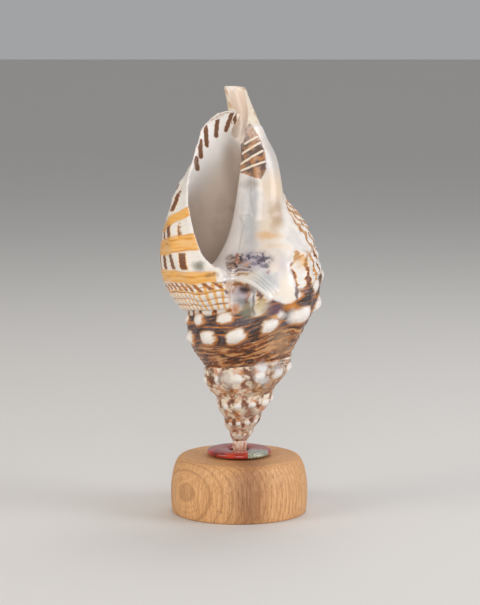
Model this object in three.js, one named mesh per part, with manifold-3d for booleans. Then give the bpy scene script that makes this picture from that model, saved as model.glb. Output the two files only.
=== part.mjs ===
// Knobbed triton shell standing apex down in a stone ring on a turned wooden base.
// Millimetres, +Z up. The origin is the centre of the base's underside, and the mouth faces -Y.
import * as THREE from 'three';
import Module from 'manifold-3d';
import { mergeVertices } from 'three/addons/utils/BufferGeometryUtils.js';

const wasm = await Module();
wasm.setup();

// Wooden base
const BASE_HEIGHT = 35;
const BASE_FOOT_RADIUS = 41.6;
const BASE_BELLY_RADIUS = 42.4;
const BASE_SHOULDER_RADIUS = 39.6;
const BASE_SHOULDER_HEIGHT = 30;
const BASE_TOP_RADIUS = 36.2;
const SOCKET_RADIUS = 5.6;
const SOCKET_DEPTH = 5.2;
const BASE_SEGMENTS = 36;
const BASE_EDGE_STEPS = 4;

// Stone ring
const GAP = 0.3;
const RING_OUTER_RADIUS = 20;
const RING_HOLE_RADIUS = 6;
const RING_THICKNESS = 4.2;
const RING_SQUARENESS = 0.8;
const RING_SECTION_SIDES = 10;
const RING_SEGMENTS = 30;

// Shell: place and lean
const APEX_HEIGHT = 33.8;
const LEAN = THREE.MathUtils.degToRad(2.86);

// Shell: growth about its axis, angles in degrees, sizes as at the mouth
const GROWTH_PER_TURN = 1.53;
const MOUTH_ANGLE = 205;
const LIP_END_ANGLE = 253.5;
const LIP_START_ANGLE = 142;
const TURNS = 5.6;
const STEPS_PER_TURN = 48;
const VARIX_SPACING = 240;
const KNOBS_PER_VARIX = 8;
const KNOB_SPACING = VARIX_SPACING / KNOBS_PER_VARIX;

// Outer side of a whorl from suture to canal, radius and height at the mouth
const WHORL_SIDE = [
  [31, 78], [36, 86.5], [42.5, 95], [49.5, 104], [54, 113], [56, 123], [56, 133], [54.5, 144],
  [51, 155], [46, 166], [40, 177], [34, 187], [28.5, 196], [24, 205], [19, 211.5], [14.5, 214.5],
];
const TRACE_STEPS = 8;
const SUTURE_HEIGHT = 86;
const SUTURE_CLIMB = 6;
const CLIMB_START_ANGLE = 85;
const EXPOSED_STEPS = 7;
const BASE_STEPS = 13;
const CROWN_HEIGHT = 203;

// Hollow of the last whorl, radius and height at the mouth
const HOLLOW = [
  [42, 97], [46.5, 104.5], [50.3, 113], [52.3, 123], [52.4, 133], [51, 144], [47.6, 154.5],
  [42.8, 165], [36.8, 176], [30.8, 186], [25, 195], [20.5, 202.5], [15.6, 207],
  [10.8, 206], [8.6, 196], [8.6, 182], [10, 165], [11.8, 150], [15, 137], [20.6, 125],
  [26, 115], [31.6, 105.5], [36.5, 98],
];
const HOLLOW_DEPTH = 275;
const HOLLOW_STEPS = 32;

// The hollow runs past the lip by angles between these, over these heights
const HOLLOW_REACH = [10, 40];
const REACH_HEIGHTS = [112, 140];
const LEAST_LIP_ANGLE = 215;

// The floor of the hollow climbs with the suture, less and less between these heights
const HOLLOW_CLIMB = 14;
const FLOOR_HEIGHTS = [97, 128];

// Its points this near the outer side belong to the outer wall, which thins towards the lip
const WALL_REACH = [8.5, 11.5];
const LIP_THINS = [-42, -5];
const LIP_THICKNESS = 1.9;

// Edge of the outer lip: height at the mouth, angle there, outward flare
const LIP_EDGE = [
  [84, 254.5, 0], [100, 255.7, 0], [113, 253, 0.5], [118.5, 248, 0.8], [127, 240.5, 1],
  [138, 234.5, 1], [150, 227, 1],
  [162, 218, 1.5], [172, 208, 2], [182, 199, 3.5], [192, 192, 7], [201, 190, 9.5],
  [208, 193, 8.5], [212, 208, 4], [214.5, 232, 0],
];
const FLARE_LENGTH = 34;
const FLARE_OVERRUN = 1.2;
const SCALLOP = 1.6;
const SCALLOP_HEIGHTS = [120, 145];

// The lip's top dips beside the canal, by angle and by height
const LIP_DIP = 4.6;
const DIP_ANGLES = [193, 232];
const DIP_HEIGHTS = [196, 211];

// The last whorl's side stands higher on the right, by angle and by height
const SIDE_LIFT = 12;
const LIFT_BEGINS = [-108, -40];
const LIFT_ENDS = [60, 140];
const LIFT_FROM_HEIGHTS = [86, 108];
const LIFT_TO_HEIGHTS = [165, 205];

// Relief, heights at the mouth; knobs fade out towards the lip between these angles
const KNOB_ROWS = [
  { height: 115.5, width: 5.5, rise: 4.2, angle: 21 },
  { height: 133, width: 5, rise: 3.4, angle: 10 },
];
const KNOBS_END = [108, 132];
const CORD_START = 141;
const CORD_SPACING = 10;
const CORDS = 7;
const CORD_RISE = 1.3;
const CORD_WIDTH = 2.2;
const VARIX_RISE = 4.2;
const VARIX_WIDTH = 9;
const VARIX_BEGINS = [88, 104];
const VARIX_ENDS = [185, 205];
const LIP_VARIX_BACK = 20;
const LIP_VARIX_SHARE = 0.6;

// Neck and canal: x, y, z of the middle and the two half widths, from the apex
const NECK = [
  [4, 0, 140, 16, 16], [4, 0, 155, 15.5, 15.5], [3.6, 0, 171, 13.3, 13.3],
  [0.8, 1, 187, 12, 11.5], [-3.6, 1.6, 199, 9.6, 9.6], [-8, 2.4, 210, 8.8, 8.6],
  [-11.4, 4, 220, 7.3, 7.4], [-14.4, 5.4, 228.6, 6.8, 6.8],
];
const GUTTER = [
  [-11, -2, 190, 6, 5], [-9.6, 0.5, 200, 5, 5], [-9.2, 1.2, 210, 4.4, 5.4],
  [-11.4, 1, 220, 4.9, 7.4], [-14.6, 2, 229, 4.6, 7.4], [-15.6, 2.4, 233, 4.6, 7.4],
];

// Opening at the front from the mouth up into the canal
const CHANNEL = [
  [-10, -14, 176, 2, 14], [-9.2, -14, 188, 2.4, 16], [-9.4, -14, 198, 3.6, 16],
  [-9, -14, 206, 3.6, 16], [-7.3, -14, 214, 2.6, 16], [-10.2, -14, 221, 4.6, 16],
  [-13.6, -14, 228, 5.8, 16], [-15.8, -14, 236, 6.4, 16],
];
const NECK_SIDES = 24;
const NECK_STEPS = 14;
const GUTTER_SIDES = 16;
const GUTTER_STEPS = 12;
const CHANNEL_SIDES = 12;
const CHANNEL_STEPS = 10;

// Tip of the spire: radius and height from the apex
const TIP = [
  [0, -2.6], [1.9, -2.1], [3.2, -0.4], [3.9, 2.4], [4.4, 6], [4.2, 11], [0, 14],
];
const TIP_POINTS = 14;
const TIP_SEGMENTS = 18;

const RADIAN = Math.PI / 180;

function smoothStep(low, high, value) {
  const t = THREE.MathUtils.clamp((value - low) / (high - low), 0, 1);
  return t * t * (3 - 2 * t);
}

function bell(distance, width) {
  return Math.exp(-((distance / width) ** 2));
}

function growth(angle) {
  return GROWTH_PER_TURN ** ((angle - MOUTH_ANGLE) / 360);
}

// Reads column `column` of a list of stations at the given height
function readAt(stations, height, column) {
  const last = stations.length - 1;
  if (height <= stations[0][0]) {
    return stations[0][column];
  }
  for (let i = 0; i < last; i += 1) {
    const [low, high] = [stations[i], stations[i + 1]];
    if (height <= high[0]) {
      const t = (height - low[0]) / (high[0] - low[0]);
      return THREE.MathUtils.lerp(low[column], high[column], t);
    }
  }
  return stations[last][column];
}

function samplePoints(pairs, count) {
  const curve = new THREE.SplineCurve(pairs.map(([r, z]) => new THREE.Vector2(r, z)));
  return curve.getPoints(count);
}

function lipAngle(height) {
  const scallop = SCALLOP * Math.cos(2 * Math.PI * (height - CORD_START) / CORD_SPACING);
  const fade = smoothStep(...SCALLOP_HEIGHTS, height);
  return readAt(LIP_EDGE, height, 1) + scallop * fade;
}

// How far the lip bends outward at an angle and height
function flare(angle, height) {
  const t = THREE.MathUtils.clamp(1 + (angle - lipAngle(height)) / FLARE_LENGTH, 0, FLARE_OVERRUN);
  return readAt(LIP_EDGE, height, 2) * t * t;
}

// Height lifted on the right and lowered towards the lip's end beside the canal
function levelled(angle, height) {
  const dip = LIP_DIP * smoothStep(...DIP_ANGLES, angle) * smoothStep(...DIP_HEIGHTS, height);
  const onRight = smoothStep(...LIFT_BEGINS, angle) * (1 - smoothStep(...LIFT_ENDS, angle));
  const below = smoothStep(...LIFT_FROM_HEIGHTS, height);
  const above = 1 - smoothStep(...LIFT_TO_HEIGHTS, height);
  return height - dip + SIDE_LIFT * onRight * below * above;
}

function knobs(angle, height) {
  let rise = 0;
  const fade = 1 - smoothStep(...KNOBS_END, angle);
  for (const row of KNOB_ROWS) {
    const turn = 2 * Math.PI * (angle - row.angle) / KNOB_SPACING;
    const lump = (0.5 + 0.5 * Math.cos(turn)) ** 2;
    rise += row.rise * lump * bell(height - row.height, row.width);
  }
  return rise * fade;
}

function cords(height) {
  let rise = 0;
  for (let i = 0; i < CORDS; i += 1) {
    rise += CORD_RISE * bell(height - CORD_START - i * CORD_SPACING, CORD_WIDTH);
  }
  return rise;
}

// Thickened former lips, every two thirds of a turn, and the one behind the present lip
function varices(angle, height) {
  const behind = MOUTH_ANGLE - angle;
  const fade = smoothStep(...VARIX_BEGINS, height) * (1 - smoothStep(...VARIX_ENDS, height));
  const order = Math.max(1, Math.round(behind / VARIX_SPACING));
  const former = bell(behind - order * VARIX_SPACING, VARIX_WIDTH);
  const present = bell(angle - lipAngle(height) + LIP_VARIX_BACK, VARIX_WIDTH);
  return VARIX_RISE * fade * (former + LIP_VARIX_SHARE * present);
}

function relief(angle, height) {
  return knobs(angle, height) + cords(height) + varices(angle, height);
}

// Turns an angle, radius and height from the apex into a point
function place(angle, radius, height) {
  const turn = angle * RADIAN;
  return new THREE.Vector3(radius * Math.cos(turn), radius * Math.sin(turn), height);
}

const whorlTrace = samplePoints(WHORL_SIDE, WHORL_SIDE.length * TRACE_STEPS);

// Radius of the whorl's outer side and the direction along it at a height
function outlineAt(height) {
  let i = 1;
  while (i < whorlTrace.length - 1 && whorlTrace[i].y < height) {
    i += 1;
  }
  const [low, high] = [whorlTrace[i - 1], whorlTrace[i]];
  const along = high.clone().sub(low).normalize();
  const t = (height - low.y) / (high.y - low.y);
  return { radius: THREE.MathUtils.lerp(low.x, high.x, t), along };
}

// Height at which a whorl meets the one before it, which climbs towards the lip
function sutureHeight(angle) {
  return SUTURE_HEIGHT + SUTURE_CLIMB * smoothStep(CLIMB_START_ANGLE, 180, angle);
}

// Height at which the next whorl covers this one
function seamHeight(angle) {
  return GROWTH_PER_TURN * sutureHeight(angle + 360);
}

// Point of the outer surface at a row's angle and a height, bent round to the lip at the mouth
function surfacePoint(rowAngle, height) {
  const part = Math.max(0, (rowAngle - LIP_START_ANGLE) / (LIP_END_ANGLE - LIP_START_ANGLE));
  const bent = THREE.MathUtils.lerp(LIP_START_ANGLE, lipAngle(height), part);
  const angle = part > 0 ? bent : rowAngle;
  const { radius, along } = outlineAt(height);
  const rise = relief(angle, height) + flare(angle, height);
  const scale = growth(angle);
  const level = levelled(angle, height) - along.x * rise;
  return place(angle, (radius + along.y * rise) * scale, level * scale);
}

// Whorls as one closed body: a helical strip whose rows each meet the row of the whorl before,
// closed at the tip, over the last whorl's crown and across the mouth
function makeWhorls() {
  const lastRow = Math.round(TURNS * STEPS_PER_TURN);
  const baseRow = lastRow - STEPS_PER_TURN;
  const points = [];
  const plan = [];
  const addPoint = (point) => {
    const radius = Math.hypot(point.x, point.y);
    points.push(point);
    plan.push(new THREE.Vector2(radius, point.z));
    return points.length - 1;
  };
  const rows = [];
  for (let i = 0; i <= lastRow; i += 1) {
    const angle = LIP_END_ANGLE - (lastRow - i) * (360 / STEPS_PER_TURN);
    const [low, high] = [sutureHeight(angle), seamHeight(angle)];
    const row = [];
    for (let j = 0; j <= EXPOSED_STEPS; j += 1) {
      const height = THREE.MathUtils.lerp(low, high, j / EXPOSED_STEPS);
      const met = j === 0 && i >= STEPS_PER_TURN;
      row.push(met ? rows[i - STEPS_PER_TURN][EXPOSED_STEPS] : addPoint(surfacePoint(angle, height)));
    }
    if (i >= baseRow) {
      const top = WHORL_SIDE.at(-1)[1];
      for (let j = 1; j <= BASE_STEPS; j += 1) {
        row.push(addPoint(surfacePoint(angle, THREE.MathUtils.lerp(high, top, j / BASE_STEPS))));
      }
    }
    rows.push(row);
  }
  const index = [];
  for (let i = 0; i < lastRow; i += 1) {
    const [row, next] = [rows[i], rows[i + 1]];
    for (let j = 0; j < Math.min(row.length, next.length) - 1; j += 1) {
      index.push(row[j], next[j], next[j + 1], row[j], next[j + 1], row[j + 1]);
    }
  }
  closeTip(rows, index, addPoint);
  const crown = addPoint(new THREE.Vector3(0, 0, CROWN_HEIGHT));
  for (let i = baseRow; i < lastRow; i += 1) {
    index.push(rows[i].at(-1), rows[i + 1].at(-1), crown);
  }
  closeMouth([...rows[lastRow], crown, ...rows[baseRow].slice(EXPOSED_STEPS + 1).reverse()], index, plan);
  return bodyFrom(points, index);
}

// Fan from the axis to the strip's first row and the first turn's inner edge
function closeTip(rows, index, addPoint) {
  const loop = [...rows[0]];
  for (let i = STEPS_PER_TURN - 1; i > 0; i -= 1) {
    loop.push(rows[i][0]);
  }
  const centre = addPoint(new THREE.Vector3(0, 0, SUTURE_HEIGHT * growth(LIP_END_ANGLE - 360 * TURNS)));
  for (let k = 0; k < loop.length; k += 1) {
    index.push(centre, loop[k], loop[(k + 1) % loop.length]);
  }
}

// Face across the mouth, inside the loop of the lip and the whorl one turn before
function closeMouth(loop, index, plan) {
  const outline = loop.map((k) => plan[k]);
  const turn = Math.sign(THREE.ShapeUtils.area(outline));
  for (const [a, b, c] of THREE.ShapeUtils.triangulateShape(outline, [])) {
    const same = Math.sign(THREE.ShapeUtils.area([outline[a], outline[b], outline[c]])) === turn;
    index.push(loop[a], loop[same ? c : b], loop[same ? b : c]);
  }
}

function bodyFrom(points, index) {
  const geometry = new THREE.BufferGeometry();
  const positions = points.flatMap((point) => point.toArray());
  geometry.setAttribute('position', new THREE.Float32BufferAttribute(positions, 3));
  geometry.setIndex(index);
  return solid(geometry);
}

// For each point of the hollow: the nearest height of the outer side, how far the point belongs
// to the outer wall, and the step that leaves the wall as thin as at the lip
const hollowWall = HOLLOW.map(([r, z]) => {
  const point = new THREE.Vector2(r, z);
  const nearest = whorlTrace.reduce((a, b) => (point.distanceTo(a) < point.distanceTo(b) ? a : b));
  const gap = nearest.clone().sub(point);
  const share = 1 - smoothStep(...WALL_REACH, gap.length());
  const step = gap.clone().multiplyScalar(share * (1 - LIP_THICKNESS / gap.length()));
  return { beside: nearest.y, share, step };
});

// One ring of points round the hollow, a wall's thickness inside the whorl
function hollowRing(part) {
  const from = MOUTH_ANGLE - HOLLOW_DEPTH;
  return HOLLOW.map(([r, z], k) => {
    const { beside, share, step } = hollowWall[k];
    const nearAngle = THREE.MathUtils.lerp(from, LIP_END_ANGLE, part);
    const late = smoothStep(CLIMB_START_ANGLE, MOUTH_ANGLE, nearAngle);
    const height = z + HOLLOW_CLIMB * late * (1 - smoothStep(...FLOOR_HEIGHTS, z));
    const reach = THREE.MathUtils.lerp(...HOLLOW_REACH, smoothStep(...REACH_HEIGHTS, height));
    const end = Math.max(lipAngle(height), LEAST_LIP_ANGLE) + reach;
    const angle = THREE.MathUtils.lerp(from, end, part);
    const thin = smoothStep(...LIP_THINS, angle - lipAngle(beside));
    const bend = flare(angle, beside) * share;
    const { along } = outlineAt(beside);
    const radius = r + step.x * thin + along.y * bend;
    const level = levelled(angle, height) + step.y * thin - along.x * bend;
    const scale = growth(angle);
    return place(angle, radius * scale, level * scale);
  });
}

function makeHollow() {
  const rings = [];
  for (let i = 0; i <= HOLLOW_STEPS; i += 1) {
    rings.push(hollowRing(i / HOLLOW_STEPS));
  }
  return skin(rings, HOLLOW.map(([r, z]) => new THREE.Vector2(r, z)));
}

// Closed body from rings of the same number of points, with flat or gently bent ends
function skin(rings, capPlan) {
  const count = rings[0].length;
  const index = [];
  for (let i = 0; i < rings.length - 1; i += 1) {
    for (let j = 0; j < count; j += 1) {
      const next = (j + 1) % count;
      const [a, b] = [i * count + j, i * count + next];
      const [c, d] = [a + count, b + count];
      index.push(a, b, c, b, d, c);
    }
  }
  const last = (rings.length - 1) * count;
  for (const [a, b, c] of THREE.ShapeUtils.triangulateShape(capPlan, [])) {
    index.push(a, c, b, last + a, last + b, last + c);
  }
  return bodyFrom(rings.flat(), index);
}

function signedVolume(geometry) {
  const position = geometry.getAttribute('position');
  const index = geometry.getIndex().array;
  const [a, b, c] = [new THREE.Vector3(), new THREE.Vector3(), new THREE.Vector3()];
  let volume = 0;
  for (let i = 0; i < index.length; i += 3) {
    a.fromBufferAttribute(position, index[i]);
    b.fromBufferAttribute(position, index[i + 1]);
    c.fromBufferAttribute(position, index[i + 2]);
    volume += a.dot(b.cross(c)) / 6;
  }
  return volume;
}

// Makes a solid of a closed geometry, its faces turned outward
function solid(source) {
  const bare = source.clone();
  bare.deleteAttribute('normal');
  bare.deleteAttribute('uv');
  const merged = mergeVertices(bare, 1e-5);
  const triVerts = new Uint32Array(merged.getIndex().array);
  if (signedVolume(merged) < 0) {
    triVerts.reverse();
  }
  const vertProperties = new Float32Array(merged.getAttribute('position').array);
  return new wasm.Manifold(new wasm.Mesh({ numProp: 3, vertProperties, triVerts }));
}

// The largest body alone, with any small closed void beside the axis filled
function soundBody(body) {
  return body.decompose().reduce((a, b) => (a.volume() > b.volume() ? a : b));
}

function geometryOf(body) {
  const mesh = body.getMesh();
  const geometry = new THREE.BufferGeometry();
  geometry.setAttribute('position', new THREE.BufferAttribute(mesh.vertProperties, 3));
  geometry.setIndex(new THREE.BufferAttribute(mesh.triVerts, 1));
  return geometry;
}

// Tube of changing oval section along a list of stations
function makeTube(stations, sides, steps) {
  const middle = new THREE.CatmullRomCurve3(stations.map(([x, y, z]) => new THREE.Vector3(x, y, z)));
  const widths = new THREE.SplineCurve(stations.map((s) => new THREE.Vector2(s[3], s[4])));
  const rings = [];
  for (let i = 0; i <= steps; i += 1) {
    const centre = middle.getPoint(i / steps);
    const width = widths.getPoint(i / steps);
    const ring = [];
    for (let j = 0; j < sides; j += 1) {
      const turn = (2 * Math.PI * j) / sides;
      const x = centre.x + width.x * Math.cos(turn);
      const y = centre.y + width.y * Math.sin(turn);
      ring.push(new THREE.Vector3(x, y, centre.z));
    }
    rings.push(ring);
  }
  const plan = rings[0].map((point) => new THREE.Vector2(point.x, point.y));
  return skin(rings, plan);
}

function makeTip() {
  const profile = samplePoints(TIP, TIP_POINTS);
  return solid(new THREE.LatheGeometry(profile, TIP_SEGMENTS).rotateX(Math.PI / 2));
}

function makeShell() {
  const body = makeWhorls().add(makeTube(NECK, NECK_SIDES, NECK_STEPS)).add(makeTip());
  const gutter = makeTube(GUTTER, GUTTER_SIDES, GUTTER_STEPS);
  const channel = makeTube(CHANNEL, CHANNEL_SIDES, CHANNEL_STEPS);
  const open = body.subtract(makeHollow()).subtract(channel).subtract(gutter);
  const geometry = geometryOf(soundBody(open));
  geometry.rotateY(LEAN);
  geometry.translate(0, 0, APEX_HEIGHT);
  const look = new THREE.MeshStandardMaterial({ color: 0xd9b48c, roughness: 0.35, metalness: 0 });
  const mesh = new THREE.Mesh(geometry, look);
  mesh.name = 'shell';
  return mesh;
}

function makeRing() {
  const middle = (RING_OUTER_RADIUS + RING_HOLE_RADIUS) / 2;
  const halfWidth = (RING_OUTER_RADIUS - RING_HOLE_RADIUS) / 2;
  const rounded = (part) => Math.sign(part) * Math.abs(part) ** RING_SQUARENESS;
  const profile = [];
  for (let i = 0; i <= RING_SECTION_SIDES; i += 1) {
    const turn = (2 * Math.PI * i) / RING_SECTION_SIDES;
    const across = rounded(Math.cos(turn));
    const up = rounded(Math.sin(turn));
    profile.push(new THREE.Vector2(middle + halfWidth * across, (RING_THICKNESS / 2) * up));
  }
  const geometry = new THREE.LatheGeometry(profile, RING_SEGMENTS);
  geometry.rotateX(Math.PI / 2);
  const look = new THREE.MeshStandardMaterial({ color: 0x7a2a22, roughness: 0.15, metalness: 0 });
  const mesh = new THREE.Mesh(geometry, look);
  mesh.name = 'stone_ring';
  mesh.position.z = BASE_HEIGHT + GAP + RING_THICKNESS / 2;
  return mesh;
}

function makeBase() {
  const edge = new THREE.Path();
  edge.moveTo(0, 0);
  edge.lineTo(BASE_FOOT_RADIUS - 1, 0);
  edge.lineTo(BASE_FOOT_RADIUS, 1);
  edge.bezierCurveTo(
    BASE_BELLY_RADIUS + 0.6, BASE_HEIGHT / 3,
    BASE_BELLY_RADIUS, BASE_HEIGHT * 2 / 3,
    BASE_SHOULDER_RADIUS, BASE_SHOULDER_HEIGHT,
  );
  edge.quadraticCurveTo(BASE_TOP_RADIUS + 1.6, BASE_HEIGHT, BASE_TOP_RADIUS - 2, BASE_HEIGHT);
  edge.lineTo(SOCKET_RADIUS, BASE_HEIGHT);
  edge.lineTo(SOCKET_RADIUS, BASE_HEIGHT - SOCKET_DEPTH);
  edge.lineTo(0, BASE_HEIGHT - SOCKET_DEPTH);
  const geometry = new THREE.LatheGeometry(edge.getPoints(BASE_EDGE_STEPS), BASE_SEGMENTS);
  geometry.rotateX(Math.PI / 2);
  const look = new THREE.MeshStandardMaterial({ color: 0xb98a5c, roughness: 0.7, metalness: 0 });
  const mesh = new THREE.Mesh(geometry, look);
  mesh.name = 'wooden_base';
  return mesh;
}

const part = new THREE.Group();
part.add(makeShell(), makeRing(), makeBase());
export default part;
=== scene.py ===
"""Dresses a knobbed triton shell that stands apex down in a stone ring on a turned wooden base."""

import logging
import math
from dataclasses import dataclass
from dataclasses import field
from enum import Enum
from enum import IntEnum
from typing import Any
from typing import Callable

import bmesh
import bpy
import numpy as np
from bpy.types import Material
from bpy.types import Mesh
from bpy.types import Node
from bpy.types import NodeSocket
from bpy.types import NodeTree
from bpy.types import Object
from mathutils import Matrix
from mathutils import Vector
from mathutils.geometry import tessellate_polygon
from mathutils.kdtree import KDTree


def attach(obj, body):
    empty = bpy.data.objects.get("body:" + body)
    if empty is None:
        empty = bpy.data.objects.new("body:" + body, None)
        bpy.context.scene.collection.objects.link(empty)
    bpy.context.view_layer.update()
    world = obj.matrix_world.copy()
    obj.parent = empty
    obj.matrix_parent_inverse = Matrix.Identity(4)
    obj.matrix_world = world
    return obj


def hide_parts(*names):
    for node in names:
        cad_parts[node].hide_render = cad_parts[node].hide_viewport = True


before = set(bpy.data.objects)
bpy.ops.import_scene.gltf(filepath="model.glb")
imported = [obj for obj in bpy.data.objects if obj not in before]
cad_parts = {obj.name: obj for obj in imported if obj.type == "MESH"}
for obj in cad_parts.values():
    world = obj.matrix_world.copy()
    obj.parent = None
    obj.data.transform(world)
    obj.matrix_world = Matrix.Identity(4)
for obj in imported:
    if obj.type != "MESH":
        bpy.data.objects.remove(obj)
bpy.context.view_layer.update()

log = logging.getLogger("triton_shell")

MM = 0.001
BODY = "root"
VIEW_ELEVATION = math.radians(8.0)
MERGE_DISTANCE = 0.02
TURN = 360
HEIGHT_UNIT = 100
QUAD = 4
STROKE_EDGE = (0.65, 0.3)
Array = np.ndarray
Pair = tuple[float, float]
Triple = tuple[float, float, float]


class Source(IntEnum):
    """Which working surface a face of the shell came from."""

    WHORL = 1
    HOLLOW = 2
    NECK = 3
    GUTTER = 4
    TIP = 5
    RIM = 6
    CROWN = 7


class Join(Enum):
    """How two closed forms are put together."""

    ADD = "UNION"
    CUT = "DIFFERENCE"


@dataclass(frozen=True)
class Spacing:
    """Where a thing that repeats comes: one of its places, and the way to the next."""

    start: float
    step: float


@dataclass(frozen=True)
class KnobRow:
    """A row of knobs: the angle of one, the row's height, each knob's half height and rise, and its cap.

    The cap is the pale top of a knob, with half its angle and half its height.
    """

    first: float
    level: float
    half_height: float
    rise: float
    cap: Pair


# The shell's relief and its colours follow the same knobs, cords and beads
KNOB_STEP = 30.0
KNOB_ROWS = (KnobRow(21.0, 115.5, 5.5, 4.2, (8.4, 6.2)), KnobRow(10.0, 133.0, 5.0, 3.4, (7.4, 4.8)))
BROAD_CORDS = Spacing(141.0, 10.0)
FINE_CORDS = Spacing(90.0, 3.9)
BEAD_STEP = 5.2


def linear(colour: str) -> tuple[float, float, float, float]:
    """Turns an sRGB hex colour into linear values.

    Args:
        colour: Six hex digits after a hash sign.

    Returns:
        Red, green, blue and an alpha of one.
    """
    shares = [int(colour[i:i + 2], 16) / 255 for i in (1, 3, 5)]
    low, slope, offset, power = 0.04045, 12.92, 0.055, 2.4
    values = [s / slope if s <= low else ((s + offset) / (1 + offset)) ** power for s in shares]
    return (values[0], values[1], values[2], 1.0)


def smooth_step(low: float, high: float, value: Array) -> Array:
    """Rises smoothly from 0 at low to 1 at high."""
    t = np.clip((np.asarray(value, float) - low) / (high - low), 0, 1)
    return t * t * (3 - 2 * t)


def bell(distance: Array, width: float) -> Array:
    """Gives 1 at no distance and fades out within about two widths."""
    return np.exp(-(np.asarray(distance, float) / width) ** 2)


def spline(points: Array, count: int, closed: bool = False) -> Array:
    """Samples a smooth curve through points.

    Args:
        points: The points, one a row.
        count: How many samples.
        closed: Whether the curve returns to its first point.

    Returns:
        The samples, one a row; a closed curve's last one isn't its first again.
    """
    points = np.asarray(points, float)
    last = len(points) if closed else len(points) - 1
    at = np.linspace(0, last, count, endpoint=not closed)
    base = np.minimum(at.astype(int), last - 1)
    t = (at - base)[:, None]
    around = [base - 1, base, base + 1, base + 2]
    if closed:
        around = [k % len(points) for k in around]
    else:
        around = [np.clip(k, 0, len(points) - 1) for k in around]
    a, b, c, d = (points[k] for k in around)
    ease_in, ease_out = (c - a) / 2, (d - b) / 2
    return (
        (2 * b - 2 * c + ease_in + ease_out) * t ** 3
        + (3 * c - 3 * b - 2 * ease_in - ease_out) * t ** 2
        + ease_in * t
        + b
    )


def growth_of(angle: Array, height: Array) -> Array:
    """Gives growth coordinates: whole turns, and heights in units of a hundred millimetres."""
    return np.stack(np.broadcast_arrays(np.asarray(angle) / TURN, np.asarray(height) / HEIGHT_UNIT), axis=-1)


def linked(name: str, data: Any) -> Object:
    """Makes an object and links it to the scene.

    Args:
        name: The object's name.
        data: Its mesh, light or camera.

    Returns:
        The object.
    """
    made = bpy.data.objects.new(name, data)
    bpy.context.scene.collection.objects.link(made)
    return made


def settled(thing: Object) -> Object:
    """Turns an object with a modifier into a plain one of the same name.

    Args:
        thing: The object; it is removed.

    Returns:
        The plain object.
    """
    graph = bpy.context.evaluated_depsgraph_get()
    mesh = bpy.data.meshes.new_from_object(thing.evaluated_get(graph))
    name = thing.name
    bpy.data.objects.remove(thing)
    return linked(name, mesh)


def add_node(
    tree: NodeTree, kind: str, settings: dict[str, Any] | None = None, inputs: dict[Any, Any] | None = None,
) -> Node:
    """Adds a node with its settings, and sets or links its inputs.

    Args:
        tree: The tree that gets the node.
        kind: Blender's name for the type of node.
        settings: Values of the node's own properties.
        inputs: A value, a socket or a Wire for each input, by its name or number.

    Returns:
        The new node.
    """
    node = tree.nodes.new(kind)
    for name, value in (settings or {}).items():
        setattr(node, name, value)
    for key, value in (inputs or {}).items():
        if isinstance(value, Wire):
            value = value.socket
        if isinstance(value, NodeSocket):
            tree.links.new(value, node.inputs[key])
        else:
            node.inputs[key].default_value = value
    return node


@dataclass(frozen=True)
class Wire:
    """A number's output socket, on which sums are written as Math nodes."""

    tree: NodeTree
    socket: NodeSocket

    def math(self, operation: str, *others: Any) -> "Wire":
        """Adds one Math node.

        Args:
            operation: The node's operation.
            others: The second and third values, if the operation takes them.

        Returns:
            The result.
        """
        inputs = dict(enumerate((self, *others)))
        node = add_node(self.tree, "ShaderNodeMath", {"operation": operation}, inputs)
        return Wire(self.tree, node.outputs[0])

    def __add__(self, other: Any) -> "Wire":
        """Adds."""
        return self.math("ADD", other)

    def __sub__(self, other: Any) -> "Wire":
        """Subtracts."""
        return self.math("SUBTRACT", other)

    def __mul__(self, other: Any) -> "Wire":
        """Multiplies."""
        return self.math("MULTIPLY", other)

    def __truediv__(self, other: Any) -> "Wire":
        """Divides."""
        return self.math("DIVIDE", other)

    def flipped(self) -> "Wire":
        """Gives one minus the value."""
        return (self * -1.0) + 1.0

    def rise(self, low: float, high: float) -> "Wire":
        """Rises smoothly from 0 to 1, or falls if high is below low.

        Args:
            low: The value that gives 0.
            high: The value that gives 1.

        Returns:
            The rise.
        """
        up = low < high
        ends = {0: self, 1: min(low, high), 2: max(low, high), 3: float(not up), 4: float(up)}
        node = add_node(self.tree, "ShaderNodeMapRange", {"interpolation_type": "SMOOTHSTEP"}, ends)
        return Wire(self.tree, node.outputs[0])

    def bump(self, middle: float, width: Any) -> "Wire":
        """Gives a bell of the value about a middle."""
        away = (self - middle) / width
        return (away * away * -1.0).math("EXPONENT")

    def wave(self, period: Any, shift: Any = 0.0) -> "Wire":
        """Gives a cosine wave between 0 and 1."""
        turn = (self - shift) / period * (2 * math.pi)
        return turn.math("COSINE") * 0.5 + 0.5


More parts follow.
